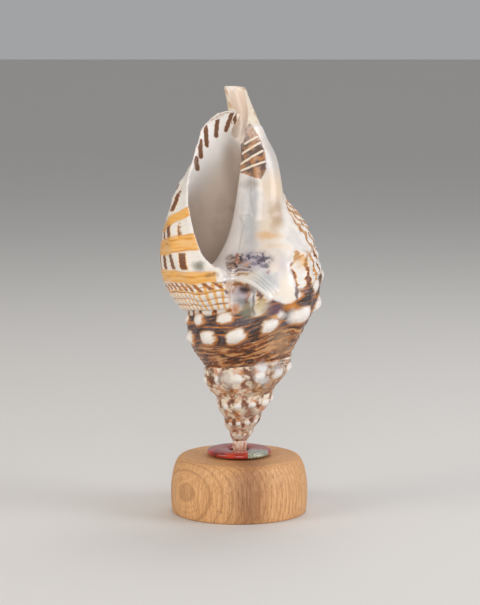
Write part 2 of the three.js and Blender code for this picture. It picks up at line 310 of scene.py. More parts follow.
@dataclass
class Faces:
    """Points and faces of a closed form while it is put together, in millimetres."""

    points: Array
    faces: list[tuple[int, ...]]
    growth: list[tuple[Pair, ...]]
    sources: list[int]

    def add(self, corners: tuple[int, ...], growth: tuple[Pair, ...], source: Source) -> None:
        """Adds a face.

        Args:
            corners: The numbers of its points.
            growth: The growth coordinates of each corner.
            source: Which working surface it belongs to.
        """
        self.faces.append(corners)
        self.growth.append(growth)
        self.sources.append(source)

    def turned_out(self) -> "Faces":
        """Turns the faces round if they point inwards.

        Returns:
            The form itself.
        """
        fans = [(f[0], f[k], f[k + 1]) for f in self.faces for k in range(1, len(f) - 1)]
        a, b, c = self.points[np.array(fans)].transpose(1, 0, 2)
        if np.einsum("ij,ij->", a, np.cross(b, c)) < 0:
            self.faces = [face[::-1] for face in self.faces]
            self.growth = [pairs[::-1] for pairs in self.growth]
        return self

    def without_loose_points(self) -> "Faces":
        """Drops the points that no face uses.

        Returns:
            The form itself.
        """
        used = sorted({k for face in self.faces for k in face})
        number = {k: n for n, k in enumerate(used)}
        self.faces = [tuple(number[k] for k in face) for face in self.faces]
        self.points = self.points[used]
        return self

    def as_object(self, name: str) -> Object:
        """Makes a mesh object of the form, with its growth coordinates and sources.

        Args:
            name: The object's name.

        Returns:
            The object, linked to the scene.
        """
        mesh = bpy.data.meshes.new(name)
        mesh.from_pydata(self.points.tolist(), [], self.faces)
        layer = mesh.uv_layers.new(name="growth")
        pairs = [pair for corners in self.growth for pair in corners]
        layer.data.foreach_set("uv", np.array(pairs, np.float32).ravel())
        source = mesh.attributes.new("source", "INT", "FACE")
        source.data.foreach_set("value", np.array(self.sources, np.int32))
        return linked(name, mesh)


def joined(base: Object, other: Object, how: Join) -> Object:
    """Joins a closed form to another or cuts it out, and drops both originals.

    Args:
        base: The form that stays.
        other: The form that is added or cut away.
        how: Whether it is added or cut.

    Returns:
        A new object with the result.
    """
    modifier = base.modifiers.new("join", "BOOLEAN")
    modifier.operation = how.value
    modifier.solver = "MANIFOLD"
    modifier.object = other
    made = settled(base)
    bpy.data.objects.remove(other)
    return made


@dataclass(frozen=True)
class GrowthRule:
    """How the shell grows about its axis: angles in degrees, sizes in millimetres as at the mouth."""

    growth_per_turn: float = 1.53
    mouth_angle: float = 205.0
    lip_end: float = 253.5
    lip_start: float = 142.0
    turns: float = 5.6
    suture_height: float = 86.0
    suture_climb: float = 6.0
    climb_start: float = 85.0
    climb_end: float = 180.0
    top_height: float = 214.5
    crown_height: float = 203.0
    side: tuple[Pair, ...] = (
        (31, 78), (36, 86.5), (42.5, 95), (49.5, 104), (54, 113), (56, 123), (56, 133), (54.5, 144),
        (51, 155), (46, 166), (40, 177), (34, 187), (28.5, 196), (24, 205), (19, 211.5), (14.5, 214.5),
    )
    side_samples: int = 256
    lip_edge: tuple[Triple, ...] = (
        (84, 254.5, 0), (100, 255.7, 0), (113, 253, 0.5), (118.5, 248, 0.8), (127, 240.5, 1),
        (138, 234.5, 1), (150, 227, 1), (162, 218, 1.5), (172, 208, 2), (182, 199, 3.5), (192, 192, 7),
        (201, 190, 9.5),
        (208, 193, 8.5), (212, 208, 4), (214.5, 232, 0),
    )
    lip_samples: int = 120
    dip: float = 4.6
    dip_angles: Pair = (193.0, 232.0)
    dip_heights: Pair = (196.0, 211.0)
    lift: float = 12.0
    lift_begins: Pair = (-108.0, -40.0)
    lift_ends: Pair = (60.0, 140.0)
    lift_from_heights: Pair = (86.0, 108.0)
    lift_to_heights: Pair = (165.0, 205.0)
    flare_length: float = 34.0
    flare_overrun: float = 1.2
    scallop: float = 1.6
    scallop_from: float = 155.0
    scallop_full: float = 178.0

    def scale(self, angle: Array) -> Array:
        """Gives the shell's size at an angle, 1 at the mouth."""
        return self.growth_per_turn ** ((np.asarray(angle, float) - self.mouth_angle) / TURN)

    def outline(self, height: Array) -> tuple[Array, Array, Array]:
        """Reads the outer side of a whorl.

        Args:
            height: Heights on the whorl.

        Returns:
            The radius at each height, and the outline's direction there as two shares.
        """
        trace = spline(np.array(self.side), self.side_samples)
        slope = np.gradient(trace, axis=0)
        slope /= np.linalg.norm(slope, axis=1)[:, None]
        parts = (trace[:, 0], slope[:, 0], slope[:, 1])
        return tuple(np.interp(height, trace[:, 1], part) for part in parts)

    def along_lip(self, height: Array, part: int) -> Array:
        """Reads the lip's edge at a height: its angle as part 1, its outward bend as part 2."""
        smooth = spline(np.array(self.lip_edge), self.lip_samples)
        return np.interp(height, smooth[:, 0], smooth[:, part])

    def lip_angle(self, height: Array) -> Array:
        """Gives the angle at which the outer lip ends at a height."""
        wave = np.cos(2 * math.pi * (np.asarray(height) - BROAD_CORDS.start) / BROAD_CORDS.step)
        fade = smooth_step(self.scallop_from, self.scallop_full, height)
        return self.along_lip(height, 1) + self.scallop * wave * fade

    def levelled(self, angle: Array, height: Array) -> Array:
        """Lifts heights on the right, and lowers them towards the lip's end beside the canal.

        Args:
            angle: The angle of each point.
            height: Its height on the whorl.

        Returns:
            The heights.
        """
        dip = self.dip * smooth_step(*self.dip_angles, angle) * smooth_step(*self.dip_heights, height)
        on_right = smooth_step(*self.lift_begins, angle) * (1 - smooth_step(*self.lift_ends, angle))
        side = smooth_step(*self.lift_from_heights, height) * (1 - smooth_step(*self.lift_to_heights, height))
        return height - dip + self.lift * on_right * side

    def flare(self, angle: Array, height: Array) -> Array:
        """Tells how far the lip bends outward at an angle and a height."""
        part = np.clip(1 + (angle - self.lip_angle(height)) / self.flare_length, 0, self.flare_overrun)
        return self.along_lip(height, 2) * part ** 2

    def suture(self, angle: float) -> float:
        """Gives the height at which a whorl meets the one before it."""
        climbed = float(smooth_step(self.climb_start, self.climb_end, angle))
        return self.suture_height + self.suture_climb * climbed

    def seam(self, angle: float) -> float:
        """Gives the height at which the next whorl covers this one."""
        return self.growth_per_turn * self.suture(angle + TURN)

    def place(self, angle: Array, radius: Array, height: Array) -> Array:
        """Turns angles, radii and heights from the apex into points."""
        turn = np.radians(np.asarray(angle, float))
        return np.stack(np.broadcast_arrays(radius * np.cos(turn), radius * np.sin(turn), height), axis=-1)

    def surface(self, row_angle: Array, height: Array) -> tuple[Array, Array]:
        """Gives points of the smooth outer surface, bent round to the lip at the mouth.

        Args:
            row_angle: The angle of the row that each point belongs to.
            height: Its height on the whorl.

        Returns:
            The points and their own angles.
        """
        part = np.maximum(0.0, (row_angle - self.lip_start) / (self.lip_end - self.lip_start))
        bent = self.lip_start + (self.lip_angle(height) - self.lip_start) * part
        angle = np.where(part > 0, bent, row_angle)
        radius, along_radius, along_height = self.outline(height)
        bend = self.flare(angle, height)
        size = self.scale(angle)
        level = self.levelled(angle, height)
        radius, level = radius + along_height * bend, level - along_radius * bend
        return self.place(angle, radius * size, level * size), angle

    def push(self, angle: Array, height: Array) -> Array:
        """Gives the outward direction at angles and heights, as long as the shell's size there."""
        _, along_radius, along_height = self.outline(height)
        size = self.scale(angle)
        return self.place(angle, along_height * size, -along_radius * size)


GROWTH = GrowthRule()


@dataclass(frozen=True)
class Whorls:
    """The coiled outer wall: a strip wound from the tip to the lip, each turn meeting the one before."""

    steps: int = 240
    columns: tuple[int, ...] = (56, 44, 34, 26, 18, 12)
    base_columns: int = 84

    def rows(self) -> tuple[list[Array], list[int]]:
        """Lists the heights of each row of points from the tip to the lip.

        Returns:
            The heights of each row, and the column at which the next whorl covers it.
        """
        last = round(GROWTH.turns * self.steps)
        heights: list[Array] = []
        seams: list[int] = []
        for i in range(last + 1):
            angle = float(self.row_angle(i, last))
            turns_back = max(0, (last - i - 1) // self.steps)
            count = self.columns[turns_back]
            row = np.linspace(GROWTH.suture(angle), GROWTH.seam(angle), count + 1)
            if turns_back == 0:
                row = np.append(row, np.linspace(row[-1], GROWTH.top_height, self.base_columns + 1)[1:])
            heights.append(row)
            seams.append(count)
        return heights, seams

    def row_angle(self, row: Any, last: int) -> Any:
        """Gives a row's angle, or the angles of many rows."""
        return GROWTH.lip_end - (last - row) * TURN / self.steps

    def form(self) -> Faces:
        """Builds the closed form: the strip, its tip, its crown and a face across the mouth.

        Returns:
            The form.
        """
        heights, seams = self.rows()
        last = len(heights) - 1
        row_of = np.concatenate([np.full(len(h), i) for i, h in enumerate(heights)])
        height = np.concatenate(heights)
        points, angle = GROWTH.surface(self.row_angle(row_of, last), height)
        growth = growth_of(angle, height)
        starts = np.concatenate([[0], np.cumsum([len(h) for h in heights])])
        rows = [list(range(starts[i], starts[i + 1])) for i in range(last + 1)]
        slots = [list(row) for row in rows]
        for i in range(self.steps, last + 1):
            rows[i][0] = rows[i - self.steps][seams[i - self.steps]]
        form = Faces(points, [], [], [])

        def put(*corners: tuple[int, int]) -> None:
            """Adds a face between points that are given by row and column."""
            pairs = tuple(tuple(growth[slots[i][j]]) for i, j in corners)
            form.add(tuple(rows[i][j] for i, j in corners), pairs, Source.WHORL)

        for i in range(last):
            self.fill_between(put, i, len(rows[i]) - 1, len(rows[i + 1]) - 1, seams[i], seams[i + 1])
        nowhere = (0.0, 0.0)
        base = last - self.steps
        crown = len(points)
        middle = len(points) + 1
        tip_height = GROWTH.suture_height * float(GROWTH.scale(self.row_angle(0, last)))
        form.points = np.vstack([points, [[0, 0, GROWTH.crown_height], [0, 0, tip_height]]])
        for i in range(base, last):
            pairs = (tuple(growth[slots[i][-1]]), tuple(growth[slots[i + 1][-1]]), nowhere)
            form.add((rows[i][-1], rows[i + 1][-1], crown), pairs, Source.CROWN)
        loop = rows[0] + [rows[i][0] for i in range(self.steps - 1, 0, -1)]
        for k, point in enumerate(loop):
            form.add((middle, point, loop[(k + 1) % len(loop)]), (nowhere,) * 3, Source.WHORL)
        self.close_mouth(form, rows[last] + [crown] + rows[base][seams[base] + 1:][::-1])
        return form.without_loose_points().turned_out()

    def fill_between(
        self, put: Callable[..., None], row: int, end: int, next_end: int, seam: int, next_seam: int,
    ) -> None:
        """Fills the strip between a row and the next, which may have fewer or more columns.

        Args:
            put: Takes the corners of a face, each by row and column.
            row: The row's number.
            end: Its last column.
            next_end: The next row's last column.
            seam: The row's column at the seam.
            next_seam: The next row's column at the seam.
        """
        a = b = 0
        while a < seam or b < next_seam:
            if seam == next_seam:
                put((row, a), (row + 1, b), (row + 1, b + 1), (row, a + 1))
                a, b = a + 1, b + 1
            elif b >= next_seam or (a < seam and (a + 1) / seam <= (b + 1) / next_seam):
                put((row, a), (row + 1, b), (row, a + 1))
                a += 1
            else:
                put((row, a), (row + 1, b), (row + 1, b + 1))
                b += 1
        for j in range(seam, min(end, next_end) if end > seam else seam):
            put((row, j), (row + 1, j), (row + 1, j + 1), (row, j + 1))

    def at_mouth(self, point: Array) -> Pair:
        """Gives a point's growth coordinates as if it were on the last stretch of the whorl."""
        angle = math.degrees(math.atan2(point[1], point[0])) % TURN
        return tuple(growth_of(angle, point[2] / float(GROWTH.scale(angle))))

    def close_mouth(self, form: Faces, loop: list[int]) -> None:
        """Closes the mouth with a face inside the lip and the whorl one turn before.

        Args:
            form: The form that gets the faces.
            loop: The points round the mouth.
        """
        plan = [Vector((math.hypot(*form.points[k][:2]), form.points[k][2], 0)) for k in loop]
        area = sum(a.x * b.y - b.x * a.y for a, b in zip(plan, plan[1:] + plan[:1]))
        for a, b, c in tessellate_polygon([plan]):
            turn = (plan[b] - plan[a]).cross(plan[c] - plan[a]).z
            corners = tuple(loop[k] for k in ((a, c, b) if turn * area > 0 else (a, b, c)))
            form.add(corners, tuple(self.at_mouth(form.points[k]) for k in corners), Source.RIM)


def between_rings(count: int, around: int) -> list[tuple[int, ...]]:
    """Lists the four-sided faces between rings of points.

    Args:
        count: How many rings.
        around: How many points each has.

    Returns:
        The faces, by the points' numbers.
    """
    faces = []
    for i in range(count - 1):
        for j in range(around):
            k = (j + 1) % around
            faces.append((i * around + j, i * around + k, (i + 1) * around + k, (i + 1) * around + j))
    return faces


def skin(rings: Array, growth: Array, source: Source) -> Faces:
    """Closes a stack of rings of points, each with the same number of points.

    Args:
        rings: The points, by ring and place.
        growth: Their growth coordinates.
        source: The working surface that the faces belong to.

    Returns:
        The closed form.
    """
    count, around = rings.shape[:2]
    flat = growth.reshape(-1, 2)
    faces = between_rings(count, around)
    faces.append(tuple(reversed(range(around))))
    faces.append(tuple(range((count - 1) * around, count * around)))
    pairs = [tuple(tuple(flat[p]) for p in face) for face in faces]
    return Faces(rings.reshape(-1, 3), faces, pairs, [source] * len(faces)).turned_out()


@dataclass(frozen=True)
class Chamber:
    """The hollow of the last whorl, a wall's thickness inside it."""

    profile: tuple[Pair, ...] = (
        (42, 97), (46.5, 104.5), (50.3, 113), (52.3, 123), (52.4, 133), (51, 144), (47.6, 154.5),
        (42.8, 165), (36.8, 176), (30.8, 186), (25, 195), (20.5, 202.5), (15.6, 207),
        (10.8, 206), (8.6, 196), (8.6, 182), (10, 165), (11.8, 150), (15, 137), (20.6, 125),
        (26, 115), (31.6, 105.5), (36.5, 98),
    )
    depth: float = 275.0
    rings: int = 150
    around: int = 104
    reach: Pair = (10.0, 40.0)
    reach_heights: Pair = (112.0, 140.0)
    least_lip_angle: float = 215.0
    climb: float = 14.0
    floor_heights: Pair = (97.0, 128.0)
    edge_thickness: float = 1.5
    thins_over: Pair = (-42.0, -5.0)
    wall_reach: Pair = (8.5, 11.5)
    side_samples: int = 320

    def outside_of(self, section: Array) -> tuple[Array, ...]:
        """Finds the outer surface's nearest place to each point of the section.

        Args:
            section: Radii and heights, one row a point.

        Returns:
            The step to just inside that surface, the surface's height and outward direction there, and
            how far the point belongs to the outer wall, from 0 to 1.
        """
        outside = spline(np.array(GROWTH.side), self.side_samples)
        gaps = outside[None, :, :] - section[:, None, :]
        distance = np.linalg.norm(gaps, axis=2)
        nearest = np.argmin(distance, axis=1)
        rows = np.arange(len(section))
        length = distance[rows, nearest][:, None]
        share = 1 - smooth_step(*self.wall_reach, length)
        _, along_radius, along_height = GROWTH.outline(outside[nearest, 1])
        step = gaps[rows, nearest] * (1 - self.edge_thickness / length) * share
        return step, outside[nearest, 1], np.stack([along_height, -along_radius], axis=1), share[:, 0]

    def form(self) -> Faces:
        """Builds the closed form that is cut out of the shell.

        Returns:
            The form.
        """
        section = spline(np.array(self.profile, float), self.around, closed=True)
        step, beside, outward, share = self.outside_of(section)
        radius, level = section[None, :, 0], section[None, :, 1]
        part = np.linspace(0, 1, self.rings)[:, None]
        start = GROWTH.mouth_angle - self.depth
        late = smooth_step(GROWTH.climb_start, GROWTH.mouth_angle, start + (GROWTH.lip_end - start) * part)
        height = level + self.climb * late * (1 - smooth_step(*self.floor_heights, level))
        reach = self.reach[0] + (self.reach[1] - self.reach[0]) * smooth_step(*self.reach_heights, height)
        end = np.maximum(GROWTH.lip_angle(height), self.least_lip_angle) + reach
        angle = start + (end - start) * part
        size = GROWTH.scale(angle)
        thin = smooth_step(*self.thins_over, angle - GROWTH.lip_angle(beside)[None, :])
        bend = GROWTH.flare(angle, np.broadcast_to(beside, angle.shape)) * share
        radius = radius + step[None, :, 0] * thin + outward[None, :, 0] * bend
        height = GROWTH.levelled(angle, height) + step[None, :, 1] * thin + outward[None, :, 1] * bend
        rings = GROWTH.place(angle, radius * size, height * size)
        return skin(rings, growth_of(angle, height), Source.HOLLOW)


@dataclass(frozen=True)
class Duct:
    """A tube of changing oval section: x, y, z of its middle and its two half widths."""

    stations: tuple[tuple[float, float, float, float, float], ...]
    source: Source
    sides: int = 64
    steps: int = 96
    turns: float = -1.0
    growth_lift: float = 0.0

    def form(self) -> Faces:
        """Builds the closed tube.

        Returns:
            The form.
        """
        path = spline(np.array(self.stations, float), self.steps)
        turn = np.linspace(0, 2 * math.pi, self.sides, endpoint=False)[None, :]
        x = path[:, 0:1] + path[:, 3:4] * np.cos(turn)
        y = path[:, 1:2] + path[:, 4:5] * np.sin(turn)
        z = np.broadcast_to(path[:, 2:3], x.shape)
        growth = growth_of(np.degrees(turn) + self.turns * TURN, z + self.growth_lift)
        return skin(np.stack([x, y, z], axis=-1), growth, self.source)


def front_view(points: Array) -> Array:
    """Projects points, in millimetres, as seen from the front at the camera's height."""
    return np.stack([points[:, 0], points[:, 2] + points[:, 1] * math.tan(VIEW_ELEVATION)], axis=1)


def path_distance(points: Array, path: tuple[Pair, ...], closed: bool = False) -> Array:
    """Measures how far flat points are from a path of straight stretches.

    Args:
        points: The points, one a row.
        path: The path's corners.
        closed: Whether it returns to its first corner.

    Returns:
        The distance of each point.
    """
    corners = np.array(path, float)
    ends = np.roll(corners, -1, axis=0) if closed else corners[1:]
    nearest = np.full(len(points), np.inf)
    for start, end in zip(corners, ends):
        along = end - start
        t = np.clip((points - start) @ along / (along @ along), 0, 1)
        nearest = np.minimum(nearest, np.linalg.norm(points - start - t[:, None] * along, axis=1))
    return nearest


def within(points: Array, outline: tuple[Pair, ...], softness: float) -> Array:
    """Tells which flat points lie inside an outline, with a soft edge.

    Args:
        points: The points, one a row.
        outline: The outline's corners.
        softness: The width of the edge, half of it outside.

    Returns:
        One inside, zero outside and between them at the edge.
    """
    corners = np.array(outline, float)
    inside = np.zeros(len(points), bool)
    for (x0, y0), (x1, y1) in zip(corners, np.roll(corners, -1, axis=0)):
        crosses = (y0 > points[:, 1]) != (y1 > points[:, 1])
        span = y1 - y0 if y1 != y0 else 1.0
        inside ^= crosses & (points[:, 0] < (x1 - x0) * (points[:, 1] - y0) / span + x0)
    signed = np.where(inside, 1, -1) * path_distance(points, outline, closed=True)
    return smooth_step(-softness / 2, softness / 2, signed)


@dataclass
class MeshArrays:
    """A mesh's points and links as arrays, for work on all of them at once."""

    mesh: Mesh
    points: Array = field(init=False)
    edges: Array = field(init=False)
    corners: Array = field(init=False)
    face_of: Array = field(init=False)
    edge_of: Array = field(init=False)
    sources: Array = field(init=False)

    def __post_init__(self) -> None:
        """Reads the arrays."""
        mesh = self.mesh
        self.points = self.read(mesh.vertices, "co", 3, float)
        self.edges = self.read(mesh.edges, "vertices", 2, int)
        self.corners = self.read(mesh.loops, "vertex_index", 1, int)[:, 0]
        self.edge_of = self.read(mesh.loops, "edge_index", 1, int)[:, 0]
        totals = self.read(mesh.polygons, "loop_total", 1, int)[:, 0]
        self.face_of = np.repeat(np.arange(len(totals)), totals)
        self.sources = self.read(mesh.attributes["source"].data, "value", 1, int)[:, 0]

    def read(self, items: Any, name: str, width: int, kind: type) -> Array:
        """Reads one property of all items.

        Args:
            items: The collection.
            name: The property's name.
            width: How many numbers it has.
            kind: The type of the numbers.

        Returns:
            The numbers, one row an item.
        """
        values = np.zeros(len(items) * width, np.float32 if kind is float else np.int32)
        items.foreach_get(name, values)
        return values.reshape(-1, width).astype(kind)

    def per_point(self, face_values: Array) -> Array:
        """Averages a value of the faces at each point."""
        total = np.bincount(self.corners, face_values[self.face_of], len(self.points))
        return total / np.maximum(1, np.bincount(self.corners, minlength=len(self.points)))

    def neighbour_mean(self, values: Array) -> Array:
        """Averages each point's neighbours.

        Args:
            values: Values at the points, one a row.

        Returns:
            The averages.
        """
        count = len(self.points)
        a, b = self.edges.T
        ends = np.concatenate([a, b])
        others = np.concatenate([b, a])
        links = np.maximum(1, np.bincount(ends, minlength=count))
        sums = [np.bincount(ends, column[others], count) for column in values.T]
        return np.stack(sums, axis=1) / links[:, None]

    def smoothed(self, values: Array, rounds: int) -> Array:
        """Evens out a value over the surface.

        Args:
            values: The value at each point.
            rounds: How often it is averaged with its neighbours.

        Returns:
            The evened value.
        """
        column = values[:, None]
        for _ in range(rounds):
            column = (column + self.neighbour_mean(column)) / 2
        return column[:, 0]

    def creases(self, first: set[Source], second: set[Source]) -> Array:
        """Finds the points on edges between faces of two groups of sources.

        Args:
            first: Sources on one side.
            second: Sources on the other.

        Returns:
            The numbers of the points.
        """
        source = self.sources[self.face_of]
        touches = []
        for group in (first, second):
            flags = np.isin(source, [int(s) for s in group]).astype(float)
            touches.append(np.bincount(self.edge_of, flags, len(self.edges)) > 0)
        return np.unique(self.edges[touches[0] & touches[1]])

    def distance_to(self, numbers: Array) -> Array:
        """Measures how far each point is from the nearest of some points.

        Args:
            numbers: The numbers of those points.

        Returns:
            The distances.
        """
        tree = KDTree(len(numbers))
        for k in numbers:
            tree.insert(self.points[k], int(k))
        tree.balance()
        return np.array([tree.find(point)[2] for point in self.points])

    def relax(self, weight: Array, rounds: int) -> None:
        """Smooths the surface where the weight, from 0 to 1, says how far each point gives way."""
        for _ in range(rounds):
            self.points += weight[:, None] / 2 * (self.neighbour_mean(self.points) - self.points)

    def write_points(self) -> None:
        """Writes the points back to the mesh."""
        self.mesh.vertices.foreach_set("co", self.points.astype(np.float32).ravel())
        self.mesh.update()

    def store(self, name: str, values: Array) -> None:
        """Stores a number or a vector for each point as an attribute.

        Args:
            name: The attribute's name.
            values: The values.
        """
        kind, key = ("FLOAT", "value") if values.ndim == 1 else ("FLOAT_VECTOR", "vector")
        attribute = self.mesh.attributes.new(name, kind, "POINT")
        attribute.data.foreach_set(key, values.astype(np.float32).ravel())


def tidied(mesh: Mesh, longest: Callable[[Vector], float], rounds: int) -> None:
    """Merges doubled points, keeps the largest body and splits long edges.

    Args:
        mesh: The mesh, changed in place.
        longest: Gives the length past which an edge with its middle at a point is split.
        rounds: How often edges are split.
    """
    bm = bmesh.new()
    bm.from_mesh(mesh)
    bmesh.ops.remove_doubles(bm, verts=bm.verts, dist=MERGE_DISTANCE)
    left = set(bm.verts)
    bodies: list[list[bmesh.types.BMVert]] = []
    while left:
        queue = [left.pop()]
        body = list(queue)
        while queue:
            for edge in queue.pop().link_edges:
                for vert in edge.verts:
                    if vert in left:
                        left.discard(vert)
                        queue.append(vert)
                        body.append(vert)
        bodies.append(body)
    bodies.sort(key=len)
    for body in bodies[:-1]:
        bmesh.ops.delete(bm, geom=body, context="VERTS")
    bmesh.ops.triangulate(bm, faces=[f for f in bm.faces if len(f.verts) > QUAD])
    for _ in range(rounds):
        ends = [(e, *(v.co for v in e.verts)) for e in bm.edges]
        long_edges = [e for e, a, b in ends if (a - b).length > longest((a + b) / 2)]
        bmesh.ops.subdivide_edges(bm, edges=long_edges, cuts=1)
        bmesh.ops.triangulate(bm, faces=[f for f in bm.faces if len(f.verts) > QUAD])
    bm.to_mesh(mesh)
    bm.free()


def new_tree(name: str, sizes: dict[str, Any]) -> tuple[NodeTree, dict[str, Wire]]:
    """Makes a geometry tree with a named input for each size.

    Args:
        name: The tree's name.
        sizes: The value of each input after the geometry, by its name.

    Returns:
        The tree, and its inputs by name.
    """
    kinds = {float: "NodeSocketFloat", int: "NodeSocketInt", Material: "NodeSocketMaterial"}
    tree = bpy.data.node_groups.new(name, "GeometryNodeTree")
    for side in ("INPUT", "OUTPUT"):
        tree.interface.new_socket("Geometry", in_out=side, socket_type="NodeSocketGeometry")
    for label, value in sizes.items():
        socket = tree.interface.new_socket(label, in_out="INPUT", socket_type=kinds[type(value)])
        socket.default_value = value
    start = add_node(tree, "NodeGroupInput")
    return tree, {socket.name: Wire(tree, socket) for socket in start.outputs if socket.name}


def close_tree(tree: NodeTree, geometry: NodeSocket, finish: Wire) -> None:
    """Ends a geometry tree with smooth shading, real instances and the material.

    Args:
        tree: The tree.
        geometry: What it has made.
        finish: Its input for the material.
    """
    smooth = add_node(tree, "GeometryNodeSetShadeSmooth", None, {0: geometry})
    real = add_node(tree, "GeometryNodeRealizeInstances", None, {0: smooth.outputs[0]})
    inputs = {"Geometry": real.outputs[0], "Material": finish}
    dressed = add_node(tree, "GeometryNodeSetMaterial", None, inputs)
    add_node(tree, "NodeGroupOutput", None, {0: dressed.outputs[0]})


def grown(carrier: Object, tree: NodeTree, sizes: dict[str, Any]) -> Object:
    """Runs a geometry tree on an object and keeps the result as a plain mesh.

    Args:
        carrier: The object that the tree starts from; it is removed.
        tree: The tree.
        sizes: Values for the tree's inputs, by name.

    Returns:
        A new object of the carrier's name, with no modifiers.
    """
    modifier = carrier.modifiers.new("form", "NODES")
    modifier.node_group = tree
    names = {i.name: i.identifier for i in tree.interface.items_tree if i.in_out == "INPUT"}
    for label, value in sizes.items():
        modifier[names[label]] = value
    return settled(carrier)


@dataclass(frozen=True)
class Relief:
    """What stands out of the whorls: heights, widths and rises in millimetres at the mouth.

    While its tree is built, it keeps the tree's inputs and what is stored at each point, by name.
    """

    knob_sharpness: float = 1.4
    knob_variety: float = 2.399
    knob_mean: float = 0.92
    knob_change: float = 0.16
    knobs_end: Pair = (132.0, 108.0)
    calm_over: Pair = (110.0, 150.0)
    calm_share: float = 0.65
    cord_rise: float = 1.3
    cord_width: float = 2.2
    cords_over: Pair = (132.0, 142.0)
    fine_cord_rise: float = 0.8
    fine_cords_end: Pair = (109.0, 103.0)
    bead_share: float = 0.6
    thread_spacing: float = 2.5
    thread_rise: float = 0.16
    growth_line_rise: float = 0.3
    growth_lines: Pair = (0.55, 0.03)
    varix_spacing: float = 240.0
    varix_width: float = 9.0
    varix_rise: float = 4.2
    varix_starts: Pair = (88.0, 104.0)
    varix_ends: Pair = (205.0, 185.0)
    lip_varix_back: float = 20.0
    lip_varix_share: float = 0.6
    seed: float = 3.0
    on: dict[str, Wire] = field(default_factory=dict)

    def sizes(self, finish: Material) -> dict[str, Any]:
        """Lists the values of the tree's inputs.

        Args:
            finish: The shell's material.

        Returns:
            The values by the inputs' names.
        """
        return {
            "Knob Spacing": KNOB_STEP, "Shoulder Rise": KNOB_ROWS[0].rise, "Second Rise": KNOB_ROWS[1].rise,
            "Cord Spacing": BROAD_CORDS.step, "Cord Rise": self.cord_rise,
            "Fine Cord Spacing": FINE_CORDS.step, "Fine Cord Rise": self.fine_cord_rise,
            "Bead Spacing": BEAD_STEP, "Thread Spacing": self.thread_spacing,
            "Thread Rise": self.thread_rise, "Growth Line Rise": self.growth_line_rise,
            "Varix Spacing": self.varix_spacing, "Varix Width": self.varix_width,
            "Varix Rise": self.varix_rise, "Mouth Angle": GROWTH.mouth_angle, "Seed": self.seed,
            "Finish": finish,
        }

    def tree(self, sizes: dict[str, Any]) -> NodeTree:
        """Builds the geometry tree that raises the relief out of the smooth whorls.

        Args:
            sizes: The values of its inputs.

        Returns:
            The tree.
        """
        tree, on = new_tree("Shell relief", sizes)
        for kind, names in (
            ("FLOAT", ("turn_angle", "whorl_height", "lip_lead", "bare")), ("FLOAT_VECTOR", ("push", "rib")),
        ):
            for name in names:
                node = add_node(tree, "GeometryNodeInputNamedAttribute", {"data_type": kind}, {"Name": name})
                on[name] = Wire(tree, node.outputs[0])
        self.on.update(on)
        rise = (self.knobs() + self.cords() + self.varices() + self.lines()) * on["bare"].flipped()
        lifted = add_node(tree, "ShaderNodeVectorMath", {"operation": "SCALE"}, {0: on["push"], 3: rise})
        both = {0: lifted.outputs[0], 1: on["rib"]}
        summed = add_node(tree, "ShaderNodeVectorMath", {"operation": "ADD"}, both)
        inputs = {"Geometry": on["Geometry"], "Offset": summed.outputs[0]}
        moved = add_node(tree, "GeometryNodeSetPosition", None, inputs)
        close_tree(tree, moved.outputs[0], on["Finish"])
        return tree

    def knobs(self) -> Wire:
        """Raises two rows of knobs.

        Returns:
            How far each point rises.
        """
        on, angle, height = self.on, self.on["turn_angle"], self.on["whorl_height"]
        rows = []
        for row, rise in zip(KNOB_ROWS, (on["Shoulder Rise"], on["Second Rise"])):
            lump = angle.wave(on["Knob Spacing"], row.first).math("POWER", self.knob_sharpness)
            number = ((angle - row.first) / on["Knob Spacing"]).math("ROUND") + on["Seed"]
            uneven = (number * self.knob_variety + row.level).math("SINE") * self.knob_change
            lump = lump * height.bump(row.level, row.half_height) * rise
            rows.append(lump * (uneven + self.knob_mean))
        return (rows[0] + rows[1]) * angle.rise(*self.knobs_end)

    def cords(self) -> Wire:
        """Raises spiral cords: broad ones over the body, beaded ones below the knobs, threads all over.

        Returns:
            How far each point rises.
        """
        on, angle, height = self.on, self.on["turn_angle"], self.on["whorl_height"]
        steps = (height - BROAD_CORDS.start) / on["Cord Spacing"]
        away = (steps - steps.math("ROUND")) * on["Cord Spacing"]
        calm = angle.rise(*self.calm_over) * self.calm_share
        broad = away.bump(0.0, self.cord_width) * on["Cord Rise"] * height.rise(*self.cords_over)
        beads = angle.wave(on["Bead Spacing"]) * self.bead_share + (1 - self.bead_share)
        fine = height.wave(on["Fine Cord Spacing"], FINE_CORDS.start) * beads * on["Fine Cord Rise"]
        threads = (height.wave(on["Thread Spacing"]) * 2.0 - 1.0) * on["Thread Rise"]
        return broad * calm.flipped() + fine * height.rise(*self.fine_cords_end) + threads

    def varices(self) -> Wire:
        """Raises the thickened former lips, and the one behind the present lip.

        Returns:
            How far each point rises.
        """
        on, height, width = self.on, self.on["whorl_height"], self.on["Varix Width"]
        behind = on["Mouth Angle"] - on["turn_angle"]
        order = (behind / on["Varix Spacing"]).math("ROUND").math("MAXIMUM", 1.0)
        former = (behind - order * on["Varix Spacing"]).bump(0.0, width)
        present = on["lip_lead"].bump(-self.lip_varix_back, width) * self.lip_varix_share
        rise = (former + present) * on["Varix Rise"]
        return rise * height.rise(*self.varix_starts) * height.rise(*self.varix_ends)

